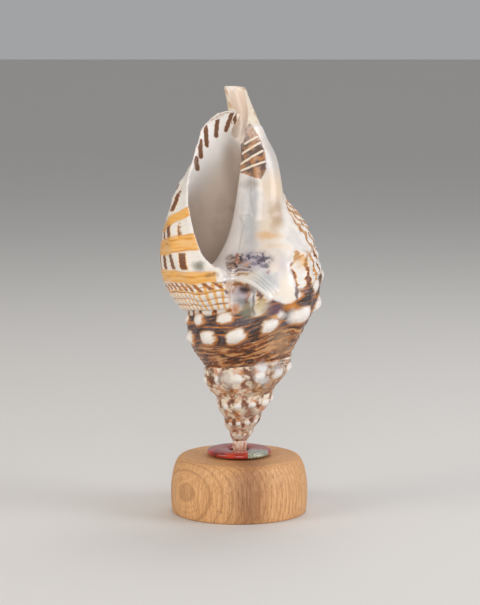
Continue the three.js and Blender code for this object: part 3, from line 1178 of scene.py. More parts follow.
    def lines(self) -> Wire:
        """Raises fine uneven growth lines across the whorl.

        Returns:
            How far each point rises.
        """
        on, tree = self.on, self.on["Seed"].tree
        across, up = self.growth_lines
        place = {0: on["turn_angle"] * across, 1: on["whorl_height"] * up, 2: on["Seed"]}
        spot = add_node(tree, "ShaderNodeCombineXYZ", None, place).outputs[0]
        noise = add_node(tree, "ShaderNodeTexNoise", None, {"Vector": spot, "Scale": 1.0, "Detail": 2.0})
        return (Wire(tree, noise.outputs[0]) - 0.5) * 2.0 * on["Growth Line Rise"]


@dataclass(frozen=True)
class FrontForms:
    """Forms that lie on the front, placed across and up in millimetres as seen from there."""

    callus: tuple[Pair, ...] = (
        (-6, 240), (14.6, 238.8), (23.2, 221.4), (28.0, 200.0), (27.7, 189.7), (31.8, 182.1),
        (35.9, 174.5),
        (41.4, 166.9), (44.1, 162.1), (37.3, 160.7), (33.2, 162.1), (29.7, 157.3), (30.4, 151.1),
        (33.2, 142.8), (34.5, 137.3), (32.5, 130.4), (27.7, 129.0), (22.6, 131.0), (18.5, 132.6),
        (12.0, 136.8), (6.5, 139.6), (1.7, 142.3), (-3.7, 143.2), (-9.2, 142.8), (-13.0, 144.0),
        (-14.0, 150.0), (-14.0, 200.0),
    )
    callus_rise: float = 0.9
    callus_edge: float = 2.4
    crest: tuple[Pair, ...] = (
        (-12.0, 143.8), (-8.7, 144.2), (-4.1, 144.9), (1.1, 144.3), (6.6, 142.2), (11.3, 139.4),
        (15.6, 135.8), (18.0, 132.9),
    )
    crest_rise: float = 1.7
    crest_width: float = 1.35
    bands: tuple[tuple[Pair, ...], ...] = (
        (
            (-5.7, 149.2), (-1.6, 151.0), (2.8, 151.1), (6.8, 150.2), (11.7, 147.4), (16.3, 143.9),
            (20.2, 140.6), (22.6, 136.6),
        ),
        (
            (-5.0, 147.0), (0.5, 148.7), (5.1, 148.2), (9.7, 146.1), (14.2, 142.9), (18.4, 139.0),
            (20.6, 135.4),
        ),
        ((1.1, 146.6), (6.4, 145.5), (11.0, 143.0), (15.4, 139.4), (18.6, 135.4)),
    )
    band_rise: float = 0.7
    band_width: float = 0.62
    band_share: float = 0.75
    ridges_bare: float = 0.7
    patch: tuple[Pair, ...] = (
        (6.5, 241.0), (3.0, 236.0), (0.8, 228.0), (-0.4, 217.0), (0.6, 210.4), (7.0, 207.4), (13.4, 205.5),
        (16.2, 212.0), (15.6, 221.0), (11.6, 232.0),
    )
    patch_edge: float = 2.4
    patch_depths: Pair = (6.0, 2.0)
    shallow_depths: Pair = (4.0, -2.0)
    shallow_from: float = -8.0
    facing: Pair = (0.1, -0.15)
    folds: tuple[tuple[Pair, Pair], ...] = (
        ((3.6, 227.6), (10.4, 231.6)), ((2.0, 221.6), (12.6, 228.2)), ((0.6, 215.0), (13.8, 223.0)),
        ((0.6, 210.9), (15.6, 216.6)),
    )
    fold_rise: float = 0.7
    fold_width: float = 0.8
    fold_facing: Pair = (0.0, -0.35)


@dataclass(frozen=True)
class Shell:
    """The triton shell, one grown piece with an open mouth."""

    finish: Material
    whorls: Whorls = Whorls()
    chamber: Chamber = Chamber()
    relief: Relief = Relief()
    front: FrontForms = FrontForms()
    neck: Duct = Duct(
        (
            (4, 0, 140, 16, 16), (4, 0, 155, 15.5, 15.5), (3.6, 0, 171, 13.3, 13.3), (0.8, 1, 187, 12, 11.5),
            (-3.6, 1.6, 199, 9.6, 9.6), (-8, 2.4, 210, 8.8, 8.6), (-11.4, 4, 220, 7.3, 7.4),
            (-14.4, 5.4, 228.6, 6.8, 6.8),
        ),
        Source.NECK,
    )
    gutter: Duct = Duct(
        (
            (-11, -2, 190, 6, 5), (-9.6, 0.5, 200, 5, 5), (-9.2, 1.2, 210, 4.4, 5.4),
            (-11.4, 1, 220, 4.9, 7.4), (-14.6, 2, 229, 4.6, 7.4), (-15.6, 2.4, 233, 4.6, 7.4),
        ),
        Source.GUTTER,
        sides=48,
        steps=60,
    )
    channel: Duct = Duct(
        (
            (-10.0, -14, 176, 2.0, 14), (-9.2, -14, 188, 2.4, 16), (-9.4, -14, 198, 3.6, 16),
            (-9.0, -14, 206, 3.6, 16), (-7.3, -14, 214, 2.6, 16), (-10.2, -14, 221, 4.6, 16),
            (-13.6, -14, 228, 5.8, 16), (-15.8, -14, 236, 6.4, 16),
        ),
        Source.GUTTER,
        steps=70,
    )
    apex: Duct = Duct(
        (
            (0, 0, -2.55, 0.4, 0.4), (0, 0, -2.1, 1.9, 1.9), (0, 0, -0.4, 3.2, 3.2), (0, 0, 2.4, 3.9, 3.9),
            (0, 0, 6, 4.4, 4.4), (0, 0, 11, 4.2, 4.2), (0, 0, 14, 0.4, 0.4),
        ),
        Source.TIP,
        sides=48,
        steps=28,
        turns=-5.0,
        growth_lift=100.0,
    )
    apex_height: float = 33.8
    lean: float = math.radians(2.86)
    longest_edge: float = 2.6
    split_rounds: int = 4
    fine_edge: float = 0.85
    fine_depth: float = 0.5
    fine_areas: tuple[tuple[Pair, Pair], ...] = (
        ((-13.0, 131.0), (23.0, 154.0)), ((-1.0, 206.0), (17.0, 238.0)),
    )
    rim_reach: float = 1.8
    rim_rounds: int = 6
    fold_reach: float = 7.0
    fold_rounds: int = 24
    corner: Triple = (-11.7, -10.9, 215.2)
    corner_reach: Pair = (1.5, 6.5)
    corner_rounds: int = 50
    lip_radius_share: float = 0.8
    seam_slack: float = 1e-4
    whole_share: float = 0.99
    mark_rounds: int = 2
    edge_rounds: int = 3

    def build(self) -> Object:
        """Builds the shell and dresses it.

        Returns:
            The finished piece.
        """
        blank = self.blank()
        tidied(blank.data, self.longest_at, self.split_rounds)
        arrays = MeshArrays(blank.data)
        self.soften(arrays)
        self.measure(arrays)
        sizes = self.relief.sizes(self.finish)
        made = grown(blank, self.relief.tree(sizes), sizes)
        made.name = made.data.name = "triton_shell"
        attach(made, BODY)
        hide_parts("shell")
        return made

    def blank(self) -> Object:
        """Joins the whorls, neck and tip, and cuts out the chamber and the canal's gutter.

        Returns:
            The smooth shell, in millimetres about its own axis.
        """
        body = self.whorls.form().as_object("whorls")
        for name, form, how in (
            ("neck", self.neck.form(), Join.ADD), ("apex", self.apex.form(), Join.ADD),
            ("chamber", self.chamber.form(), Join.CUT),
            ("channel", self.channel.form(), Join.CUT), ("gutter", self.gutter.form(), Join.CUT),
        ):
            body = joined(body, form.as_object(name), how)
        return body

    def longest_at(self, point: Vector) -> float:
        """Gives the longest edge allowed at a point, shorter where fine forms lie on the front.

        Args:
            point: The point, before the shell is put in its place.

        Returns:
            The length.
        """
        if point.y > self.fine_depth:
            return self.longest_edge
        across = point.x * math.cos(self.lean) + point.z * math.sin(self.lean)
        up = point.z * math.cos(self.lean) - point.x * math.sin(self.lean) + self.apex_height
        up += point.y * math.tan(VIEW_ELEVATION)
        for (left, low), (right, high) in self.fine_areas:
            if left < across < right and low < up < high:
                return self.fine_edge
        return self.longest_edge

    def soften(self, arrays: MeshArrays) -> None:
        """Rounds the lip a little, and blends the neck, columella and whorls into each other.

        Args:
            arrays: The shell's mesh, changed.
        """
        walls = {Source.WHORL, Source.CROWN}
        hollows = {Source.HOLLOW, Source.GUTTER}
        rim = arrays.creases(walls | {Source.RIM}, hollows | {Source.RIM})
        points = arrays.points[rim]
        radius = np.linalg.norm(points[:, :2], axis=1)
        outer, _, _ = GROWTH.outline(points[:, 2] / float(GROWTH.scale(GROWTH.mouth_angle)))
        on_lip = radius > outer * self.lip_radius_share
        inner = arrays.creases({Source.NECK, Source.RIM}, walls | hollows)
        inner = np.union1d(np.setdiff1d(inner, rim[on_lip]), rim[~on_lip])
        near = arrays.distance_to(inner)
        arrays.relax(1 - smooth_step(0, self.fold_reach, near), self.fold_rounds)
        near = arrays.distance_to(rim[on_lip])
        arrays.relax(1 - smooth_step(0, self.rim_reach, near), self.rim_rounds)
        away = np.linalg.norm(arrays.points - self.corner, axis=1)
        arrays.relax(1 - smooth_step(*self.corner_reach, away), self.corner_rounds)
        arrays.write_points()

    def growth_at_points(self, arrays: MeshArrays) -> tuple[Array, Array]:
        """Reads the angle and height at each point, those of the lower whorl at a seam.

        Args:
            arrays: The shell's mesh.

        Returns:
            The angle and the height at each point.
        """
        pairs = arrays.read(arrays.mesh.uv_layers["growth"].data, "uv", 2, float)
        height = np.full(len(arrays.points), -1.0)
        np.maximum.at(height, arrays.corners, pairs[:, 1])
        angle = np.zeros(len(arrays.points))
        highest = pairs[:, 1] >= height[arrays.corners] - self.seam_slack
        angle[arrays.corners[highest]] = pairs[highest, 0]
        return angle * TURN, height * HEIGHT_UNIT

    def measure(self, arrays: MeshArrays) -> None:
        """Puts the shell in its place and stores what its relief and its colours follow.

        Args:
            arrays: The shell's mesh, changed.
        """
        angle, height = self.growth_at_points(arrays)
        turn = np.array(Matrix.Rotation(self.lean, 3, "Y"))
        arrays.points = arrays.points @ turn.T + [0, 0, self.apex_height]
        arrays.write_points()
        normals = arrays.read(arrays.mesh.vertices, "normal", 3, float)
        whorl, hollow, rim = (
            arrays.per_point(np.isin(arrays.sources, group).astype(float))
            for group in ((Source.WHORL, Source.TIP), (Source.HOLLOW, Source.GUTTER), (Source.RIM,))
        )
        front, seen, depth = self.front, front_view(arrays.points), arrays.points[:, 1]
        toward = smooth_step(*front.facing, normals[:, 1])
        shallow = smooth_step(*front.shallow_depths, depth) * (seen[:, 0] > front.shallow_from)
        open_front = toward * np.maximum(1 - hollow, shallow)
        facing = toward * (1 - hollow)
        covered = within(seen, front.callus, front.callus_edge)
        callus = arrays.smoothed(covered * facing, self.mark_rounds)
        patch = within(seen, front.patch, front.patch_edge) * smooth_step(*front.patch_depths, depth)
        patch = arrays.smoothed(patch, 1)
        crest = self.ribs(seen, (front.crest,), front.crest_width) * facing
        bands = self.ribs(seen, front.bands, front.band_width) * facing
        folds = self.ribs(seen, front.folds, front.fold_width) * patch
        folds = folds * smooth_step(*front.fold_facing, normals[:, 1])
        rib = front.callus_rise * callus + front.crest_rise * crest
        rib = rib + front.band_rise * bands + front.fold_rise * folds
        plain = (whorl > self.whole_share) & (hollow < 1 - self.whole_share)
        edge = arrays.smoothed(plain.astype(float), self.edge_rounds)
        for name, values in (
            ("turn_angle", angle), ("whorl_height", height),
            ("lip_lead", angle - GROWTH.lip_angle(height)),
            ("bare", 1 - edge * (1 - callus) * (1 - front.ridges_bare * np.clip(crest + bands, 0, 1))),
            ("push", GROWTH.push(angle, height) @ turn.T * MM), ("rib", normals * rib[:, None] * MM),
            ("inside", arrays.smoothed(hollow, self.mark_rounds)), ("rim", arrays.smoothed(rim, 1)),
            ("callus", arrays.smoothed(covered * open_front, self.mark_rounds)),
            ("front", arrays.smoothed(open_front, self.mark_rounds)),
            ("patch", patch), ("folds", folds), ("ridge", np.clip(crest + front.band_share * bands, 0, 1)),
            ("neck", 1 - arrays.smoothed(np.maximum(whorl, hollow), self.edge_rounds)),
        ):
            arrays.store(name, values)
        arrays.points = arrays.points * MM
        arrays.write_points()

    def ribs(self, seen: Array, paths: tuple[tuple[Pair, ...], ...], width: float) -> Array:
        """Gives bells along paths on the front, one upon another where they meet."""
        return sum(bell(path_distance(seen, path), width) for path in paths)


@dataclass(frozen=True)
class Wash:
    """A colour laid over where all of its patterns have risen, each from one level to another.

    A pattern that is named alone counts as it is.
    """

    colour: str
    strength: float
    where: tuple[tuple[str, float, float] | str, ...] = ()


@dataclass(frozen=True)
class Paint:
    """Colour built up in layers in a material's tree."""

    tree: NodeTree
    ground: Any

    def over(self, colour: Any, amount: Any) -> "Paint":
        """Lays a colour over what is there.

        Args:
            colour: An sRGB hex colour, or another Paint.
            amount: How much of it covers, from 0 to 1.

        Returns:
            The result.
        """
        top = colour.ground if isinstance(colour, Paint) else linear(colour)
        inputs = {0: amount, 6: self.ground, 7: top}
        node = add_node(self.tree, "ShaderNodeMix", {"data_type": "RGBA"}, inputs)
        return Paint(self.tree, node.outputs[2])

    def washed(self, washes: tuple[Wash, ...], patterns: dict[str, Any], share: Any = 1.0) -> "Paint":
        """Lays washes over what is there, in their order.

        Args:
            washes: The washes.
            patterns: The patterns that they name.
            share: How far all of them cover.

        Returns:
            The result.
        """
        paint = self
        for wash in washes:
            cover = share
            for pattern in wash.where:
                if isinstance(pattern, str):
                    part = patterns[pattern]
                else:
                    part = patterns[pattern[0]].rise(*pattern[1:])
                cover = part * cover
            paint = paint.over(wash.colour, cover * wash.strength)
        return paint


@dataclass(frozen=True)
class Canvas:
    """The coordinates that a material's patterns are drawn in."""

    tree: NodeTree
    place: NodeSocket

    @classmethod
    def of(cls, name: str) -> "Canvas":
        """Makes a material and takes its place on the object as coordinates.

        Args:
            name: The material's name.

        Returns:
            The canvas.
        """
        material = bpy.data.materials.new(name)
        material.use_nodes = True
        return cls(material.node_tree, add_node(material.node_tree, "ShaderNodeTexCoord").outputs["Object"])

    @property
    def material(self) -> Material:
        """The material itself."""
        return next(m for m in bpy.data.materials if m.node_tree == self.tree)

    @property
    def shader(self) -> Node:
        """The material's main shader."""
        return next(n for n in self.tree.nodes if n.type == "BSDF_PRINCIPLED")

    def coat(self, colour: str) -> Paint:
        """Starts a paint with one colour."""
        return Paint(self.tree, linear(colour))

    def stored(self, name: str) -> Wire:
        """Reads a number stored on the mesh."""
        node = add_node(self.tree, "ShaderNodeAttribute", {"attribute_name": name})
        return Wire(self.tree, node.outputs["Fac"])

    def parts(self, socket: NodeSocket) -> tuple[Wire, Wire, Wire]:
        """Splits a vector into its three numbers."""
        node = add_node(self.tree, "ShaderNodeSeparateXYZ", None, {0: socket})
        return tuple(Wire(self.tree, part) for part in node.outputs)

    def vector(self, x: Any, y: Any, z: Any = 0.0) -> NodeSocket:
        """Puts three numbers together as a vector."""
        return add_node(self.tree, "ShaderNodeCombineXYZ", None, {0: x, 1: y, 2: z}).outputs[0]

    def reckoned(self, operation: str, first: Any, second: Any) -> NodeSocket:
        """Reckons with two vectors, or with a vector and a number where it is scaled.

        Args:
            operation: What is done.
            first: The first vector.
            second: The second vector, or the number.

        Returns:
            The result.
        """
        inputs = {0: first, 3 if operation == "SCALE" else 1: second}
        node = add_node(self.tree, "ShaderNodeVectorMath", {"operation": operation}, inputs)
        return node.outputs[1 if operation in ("DISTANCE", "DOT_PRODUCT") else 0]

    def noise(self, place: NodeSocket, scale: float, detail: float) -> Node:
        """Adds a noise pattern of so many clouds to a unit of its coordinates."""
        inputs = {"Vector": place, "Scale": scale, "Detail": detail}
        return add_node(self.tree, "ShaderNodeTexNoise", None, inputs)

    def clouds(self, size: float, detail: float = 2.0, squeeze: Triple | None = None) -> Wire:
        """Adds a pattern of clouds so many millimetres large, narrower along an axis where squeezed."""
        place = self.reckoned("MULTIPLY", self.place, squeeze) if squeeze else self.place
        return Wire(self.tree, self.noise(place, 1 / (size * MM), detail).outputs[0])

    def warped(self, place: NodeSocket, size: float, reach: float) -> NodeSocket:
        """Bends flat coordinates by a cloudy pattern.

        Args:
            place: The coordinates.
            size: The size of the pattern's clouds in millimetres.
            reach: How far a point moves at most, in the coordinates' units.

        Returns:
            The bent coordinates.
        """
        cloud = self.noise(self.place, 1 / (size * MM), 3.0).outputs["Color"]
        around = self.reckoned("SUBTRACT", cloud, (0.5, 0.5, 0.5))
        return self.reckoned("ADD", place, self.reckoned("SCALE", around, reach * 2))

    def blot(self, place: NodeSocket, middle: Pair, half: Pair, softness: float) -> Wire:
        """Gives a soft oval spot.

        Args:
            place: Flat coordinates.
            middle: The spot's middle.
            half: Its half width and half height.
            softness: The width of its edge, as a share of its size.

        Returns:
            One inside, zero outside.
        """
        shrink = (1 / half[0], 1 / half[1], 0.0)
        share = self.reckoned("MULTIPLY", self.reckoned("SUBTRACT", place, (*middle, 0.0)), shrink)
        distance = self.reckoned("DISTANCE", share, (0.0, 0.0, 0.0))
        return Wire(self.tree, distance).rise(1 + softness, 1 - softness)

    def stroke(self, place: NodeSocket, ends: tuple[Pair, Pair], width: float) -> Wire:
        """Gives a soft straight stroke.

        Args:
            place: Flat coordinates.
            ends: Its two ends.
            width: Its width.

        Returns:
            One inside, zero outside.
        """
        (x0, y0), (x1, y1) = ends
        length = math.hypot(x1 - x0, y1 - y0)
        along = ((x1 - x0) / length, (y1 - y0) / length, 0.0)
        away = self.reckoned("SUBTRACT", place, (x0, y0, 0.0))
        reach = Wire(self.tree, self.reckoned("DOT_PRODUCT", away, along))
        reach = reach.math("MINIMUM", length).math("MAXIMUM", 0.0)
        distance = self.reckoned("DISTANCE", away, self.reckoned("SCALE", along, reach))
        return Wire(self.tree, distance).rise(*(width * share for share in STROKE_EDGE))

    def bump(self, height: Wire, rise: float) -> None:
        """Gives the shader a fine relief."""
        inputs = {"Strength": 1.0, "Distance": rise * MM, "Height": height}
        self.feed("Normal", add_node(self.tree, "ShaderNodeBump", None, inputs).outputs[0])

    def feed(self, name: str, value: Any) -> None:
        """Sets or links one input of the shader.

        Args:
            name: The input's name.
            value: A number, a colour, a socket, a Wire or a Paint.
        """
        value = value.ground if isinstance(value, Paint) else value
        value = value.socket if isinstance(value, Wire) else value
        if isinstance(value, NodeSocket):
            self.tree.links.new(value, self.shader.inputs[name])
        else:
            self.shader.inputs[name].default_value = value


@dataclass(frozen=True)
class ShellCanvas(Canvas):
    """The shell's material, with its front as a flat picture and the patterns that its colours follow."""

    plane: NodeSocket
    on: dict[str, Wire]
    # Each cloudy pattern's name, its size in millimetres and its detail
    grains: tuple[tuple[str, float, float], ...] = (
        ("mouth_cloud", 14.0, 2.0), ("glaze_cloud", 11.0, 3.0), ("worn_cloud", 8.0, 2.0),
        ("neck_cloud", 8.0, 3.0), ("patch_cloud", 6.0, 3.0), ("worn_speck", 4.6, 2.0),
        ("mottle", 2.6, 3.0), ("worn_fine", 2.5, 2.0), ("grit", 2.0, 2.0), ("fleck", 1.8, 2.0),
    )

    @classmethod
    def of(cls, name: str) -> "ShellCanvas":
        """Makes the material, and reads the shell's growth, marks and clouds.

        Args:
            name: The material's name.

        Returns:
            The canvas.
        """
        plain = Canvas.of(name)
        growth = add_node(plain.tree, "ShaderNodeUVMap", {"uv_map": "growth"}).outputs[0]
        turn, level, _ = plain.parts(growth)
        x, y, z = plain.parts(plain.place)
        across, up = x / MM, (z + y * math.tan(VIEW_ELEVATION)) / MM
        on = {"angle": turn * TURN, "height": level * HEIGHT_UNIT, "across": across, "up": up}
        names = ("inside", "rim", "callus", "patch", "folds", "neck", "ridge", "lip_lead", "front")
        on |= {name: plain.stored(name) for name in names}
        on |= {name: plain.clouds(size, detail) for name, size, detail in cls.grains}
        return cls(plain.tree, plain.place, plain.vector(across, up), on)

    def grown_clouds(self, angle: Wire, height: Wire, each: Triple, detail: float = 2.0) -> Wire:
        """Adds clouds along the growth: so many to a degree and to a millimetre, and which ones."""
        place = self.vector(angle * each[0], height * each[1], each[2])
        return Wire(self.tree, self.noise(place, 1.0, detail).outputs[0])


@dataclass(frozen=True)
class Spot:
    """A soft coloured spot on the front, in millimetres across and up."""

    colour: str
    middle: Pair
    half: Pair
    strength: float = 0.8
    crisp: bool = False


@dataclass(frozen=True)
class Drops:
    """A belt of pale drops in columns: its two heights, its columns' shift and how warm it is between."""

    low: float
    high: float
    shift: float
    warmth: float


@dataclass(frozen=True)
class ShellFinish:
    """Natural shell, washed and lightly polished: brown marks in lime outside, porcelain in the mouth."""

    # Grown lime is satin, so light spreads on it softly; the callus and the mouth are as smooth as porcelain
    canvas: ShellCanvas = field(default_factory=lambda: ShellCanvas.of("polished_triton_shell"))
    cream: str = "#EBDCC6"
    white: str = "#E9E3DC"
    ochre: str = "#EBAC44"
    orange: str = "#BE7228"
    brown: str = "#66300F"
    chocolate: str = "#2C1B17"
    purple: str = "#57464C"
    tan: str = "#C79B6E"
    pink: str = "#D6A48C"
    taupe: str = "#B7A596"
    porcelain: str = "#FBF9F6"
    index: float = 1.53
    roughness: float = 0.36
    gloss: float = 0.06
    coat: float = 0.15
    coat_roughness: float = 0.16
    lines: Triple = (0.9, 0.05, 0.0)
    line_rise: float = 0.3
    thread_spacing: float = 1.3
    thread_share: float = 0.25
    # Over the outside: where the lip's bands, the body's marks and the worn spire begin
    wobble: Triple = (0.07, 0.16, 3.0)
    body_sway: Pair = (8.0, 4.0)
    lip_sway: Pair = (2.0, 2.4)
    worn_sway: float = 6.0
    edge_sway: float = 40.0
    lip_from: Pair = (118.0, 146.0)
    worn_from: Pair = (-380.0, -460.0)
    # The lip side
    streaks: Triple = (0.05, 0.7, 7.0)
    stripe_slant: float = 0.25
    stripes: Spacing = Spacing(246.5, 12.0)
    stripe_rows: tuple[Pair, ...] = ((160.5, 8.5), (140.5, 4.8), (122.3, 4.6))
    lip_bands: tuple[Triple, ...] = ((148.0, 3.4, 0.32), (132.0, 4.9, 0.07), (113.4, 3.6, -0.04))
    tilt_about: float = 215.0
    tilt_least: float = -12.0
    band_streaks: Pair = (0.4, 0.55)
    band_strength: Pair = (0.15, 0.82)
    stripe_sway: float = 0.25
    white_lip_sway: float = 8.0
    beads_below: Pair = (110.2, 109.0)
    bead_slant: float = 1.1
    slanted_step: float = 6.76
    lip_washes: tuple[Wash, ...] = (Wash(cream, 0.4, (("streak", 0.45, 0.65),)),)
    stripe_washes: tuple[Wash, ...] = (
        Wash(ochre, 0.75, (("stripe", 0.36, 0.55), ("past", 0.9, -0.7), ("lead", -8.0, -12.5))),
        Wash(brown, 0.95, (("stripe", 0.55, 0.72), ("past", 0.9, -0.7), ("lead", -8.0, -12.5))),
    )
    band_washes: tuple[Wash, ...] = (
        Wash(ochre, 1.0, (("past", 0.8, -0.8), "strength")),
        Wash(orange, 0.55, (("past", 0.8, -0.8), ("streak", 0.54, 0.66))),
        Wash(orange, 0.35, (("past", 0.8, -0.8), ("past", -1.2, 0.4))),
    )
    bead_washes: tuple[Wash, ...] = (
        Wash(white, 1.0),
        Wash(ochre, 0.85, (("beads", 0.52, 0.16),)),
        Wash(orange, 0.85, (("slanted", 0.6, 0.35), ("height", 104.5, 105.6))),
        Wash(brown, 0.55, (("slanted", 0.38, 0.14), ("height", 104.5, 105.6))),
        Wash(ochre, 0.8, (("height", 105.4, 104.6), ("height", 103.0, 103.8))),
        Wash(orange, 0.6, (("cords", 0.2, 0.0),)),
        Wash(brown, 0.55, (("cords", 0.12, 0.0), ("streak", 0.5, 0.58))),
    )
    # The body
    cloud: Triple = (0.07, 0.13, 1.0)
    streak: Triple = (0.035, 0.42, 5.0)
    speck: Triple = (0.2, 0.4, 9.0)
    slant: Triple = (0.05, 0.4, 4.0)
    slant_rise: float = 1.2
    older_from: Pair = (-250.0, -390.0)
    older_share: float = 0.3
    marks_above: Pair = (104.0, 110.0)
    low_washes: tuple[Wash, ...] = (
        Wash(chocolate, 0.85, (("cloud", 0.52, 0.4),)),
        Wash(tan, 0.7, ("older", ("cloud", 0.42, 0.56))),
        Wash(orange, 0.8, (("slant", 0.42, 0.62),)),
        Wash(tan, 0.9, (("slant", 0.5, 0.68),)),
        Wash(cream, 0.25, (("cords", 0.5, 0.95), ("speck", 0.52, 0.64))),
    )
    ground_washes: tuple[Wash, ...] = (
        Wash(purple, 0.85, (("cloud", 0.45, 0.58),)),
        Wash(brown, 0.85, (("streak", 0.5, 0.6),)),
        Wash(orange, 0.85, (("streak", 0.53, 0.64), ("cloud", 0.4, 0.52))),
        Wash(tan, 0.35, (("cords", 0.7, 1.0), ("speck", 0.5, 0.62))),
        Wash(cream, 0.85, ("older", ("speck", 0.42, 0.54))),
    )
    columns: Spacing = Spacing(-42.0, 14.5)
    column_sway: float = 16.0
    drops: tuple[Drops, ...] = (Drops(136.0, 157.0, 0.0, 0.95), Drops(157.0, 180.0, 0.5, 0.3))
    drop_ends: Pair = (1.0, -5.0)
    drop_sway: float = 8.0
    belt_edge: Pair = (-1.0, 2.0)
    warm_washes: tuple[Wash, ...] = (
        Wash(orange, 1.0, (("speck", 0.58, 0.45),)),
        Wash(ochre, 0.6, (("speck", 0.52, 0.6),)),
        Wash(brown, 1.0, (("drop", 0.24, 0.06), ("cloud", 0.4, 0.5))),
    )
    pale_washes: tuple[Wash, ...] = (
        Wash(cream, 1.0, (("drop", 0.26, 0.42),)), Wash(white, 1.0, (("drop", 0.4, 0.6),)),
    )
    cap_power: float = 2.6
    cap_specks: float = 0.45
    cap_clouds: float = 0.5
    cap_older: float = 0.2
    halo_side: float = 0.6
    cap_washes: tuple[Wash, ...] = (
        Wash(orange, 0.8, (("far", 1.55, 1.1), ("below", -0.2, 0.8))),
        Wash(tan, 0.75, (("far", 1.25, 0.95),)),
        Wash(white, 0.97, (("far", 1.08, 0.7),)),
    )
    # The worn spire
    bars: Spacing = Spacing(6.0, KNOB_STEP)
    bar_sway: float = 24.0
    worn_cap: float = 7.5
    worn_washes: tuple[Wash, ...] = (
        Wash(pink, 1.0, (("worn_cloud", 0.4, 0.58),)),
        Wash(cream, 0.95, (("worn_speck", 0.4, 0.6),)),
        Wash(orange, 0.85, (("worn_fine", 0.48, 0.64), ("worn_speck", 0.58, 0.42))),
        # Brown bars midway between the knobs, partly painted shade between them
        Wash(brown, 0.9, (
            ("bars", 0.3, 0.85), ("height", 96, 106), ("angle", -1560, -1380), ("worn_speck", 0.66, 0.4),
        )),
        Wash(brown, 0.7, (("worn_cloud", 0.46, 0.36), ("worn_fine", 0.4, 0.56))),
        # Painted shade: brown darkening at the seam along each whorl's lower edge
        Wash(brown, 0.6, (("height", 97, 90), ("worn_fine", 0.38, 0.6))),
        Wash(white, 1.0, (("cap", 0.3, 0.7),)),
    )
    # The neck, the rim and the callus
    neck_from: Pair = (0.35, 0.75)
    neck_washes: tuple[Wash, ...] = (
        Wash(tan, 0.7, (("neck_cloud", 0.5, 0.64),)), Wash(orange, 0.5, (("neck_cloud", 0.4, 0.32),)),
    )
    rim_washes: tuple[Wash, ...] = (
        Wash(white, 0.8, (("rim", 0.2, 0.7), ("height", 112, 119))),
        Wash(pink, 0.6, (("rim", 0.3, 0.8), ("grit", 0.46, 0.6))),
    )
    glaze_washes: tuple[Wash, ...] = (
        Wash(cream, 0.75, (("glaze_cloud", 0.44, 0.6),)), Wash("#D3CBC5", 0.6, (("glaze_cloud", 0.5, 0.38),)),
    )
    glaze_from: Pair = (0.2, 0.8)
    glaze_share: float = 0.97
    # The mouth: warmer and darker further in, partly painted shade, and painted shade on the inside's lower
    # right
    mouth_from: Pair = (0.3, 0.6)
    deep_sway: float = 30.0
    # Painted shade: past a slanting line through this middle, and in a blot, the inside darkens to its lower
    # right
    shade_edge_middle: Pair = (-8.0, 224.0)
    shade_edge_slope: Pair = (0.77, 0.64)
    shade_blot: tuple[Pair, Pair, float] = ((-5.2, 220.0), (4.5, 15.0), 0.9)
    mouth_washes: tuple[Wash, ...] = (
        # Further in, a warmer tint that is partly painted shade; the last two washes are painted shade on the
        # lower right
        Wash("#F0DFCF", 0.9, (("lead", -30.0, -90.0),)),
        Wash(taupe, 0.3, (("mouth_cloud", 0.5, 0.62), ("lead", -30.0, -90.0))),
        Wash("#DCC8B8", 0.35, (("canal", -4.0, 5.0), ("up", 238.0, 226.0))),
        Wash("#A08C7C", 0.6, ("shade",)),
    )
    teeth: tuple[tuple[Pair, Pair], ...] = (
        ((0.3, 247.5), (-3.2, 240.9)), ((-3.8, 247.5), (-8.1, 236.3)), ((-13.0, 244.4), (-14.1, 233.2)),
        ((-20.4, 238.1), (-19.8, 227.2)), ((-23.6, 229.5), (-23.5, 220.1)), ((-26.2, 218.9), (-25.6, 212.7)),
    )
    tooth_width: float = 2.9
    tooth_from: Pair = (-34.0, -24.0)
    tooth_bend: Pair = (3.0, 0.7)
    tooth_washes: tuple[Wash, ...] = (
        Wash(orange, 0.75, ("mark",)), Wash("#5E3812", 0.85, (("mark", 0.5, 0.95),)),
    )
    # The dark patch beside the mouth, with its pale folds
    patch_brown: str = "#4A260A"
    patch_low: Triple = (0.6, 210.0, 14.0)
    patch_lighter: float = 0.14
    patch_ragged: float = 0.9
    patch_top: Pair = (225.0, 236.0)
    top_grit: Pair = (0.4, 0.56)
    top_strength: Pair = (0.5, 0.4)
    patch_from: Pair = (0.05, 0.5)
    ragged_from: Pair = (0.35, 0.75)
    patch_share: float = 0.9
    ridge_wash: Wash = Wash(white, 0.9, (("ridge", 0.35, 0.8),))
    patch_washes: tuple[Wash, ...] = (
        Wash("#A8681C", 1.0, (("cloud", 0.5, 0.62),)), Wash("#C4B0A6", 1.0, ("top",)),
        Wash(cream, 1.0, (("folds", 0.3, 0.75),)),
    )
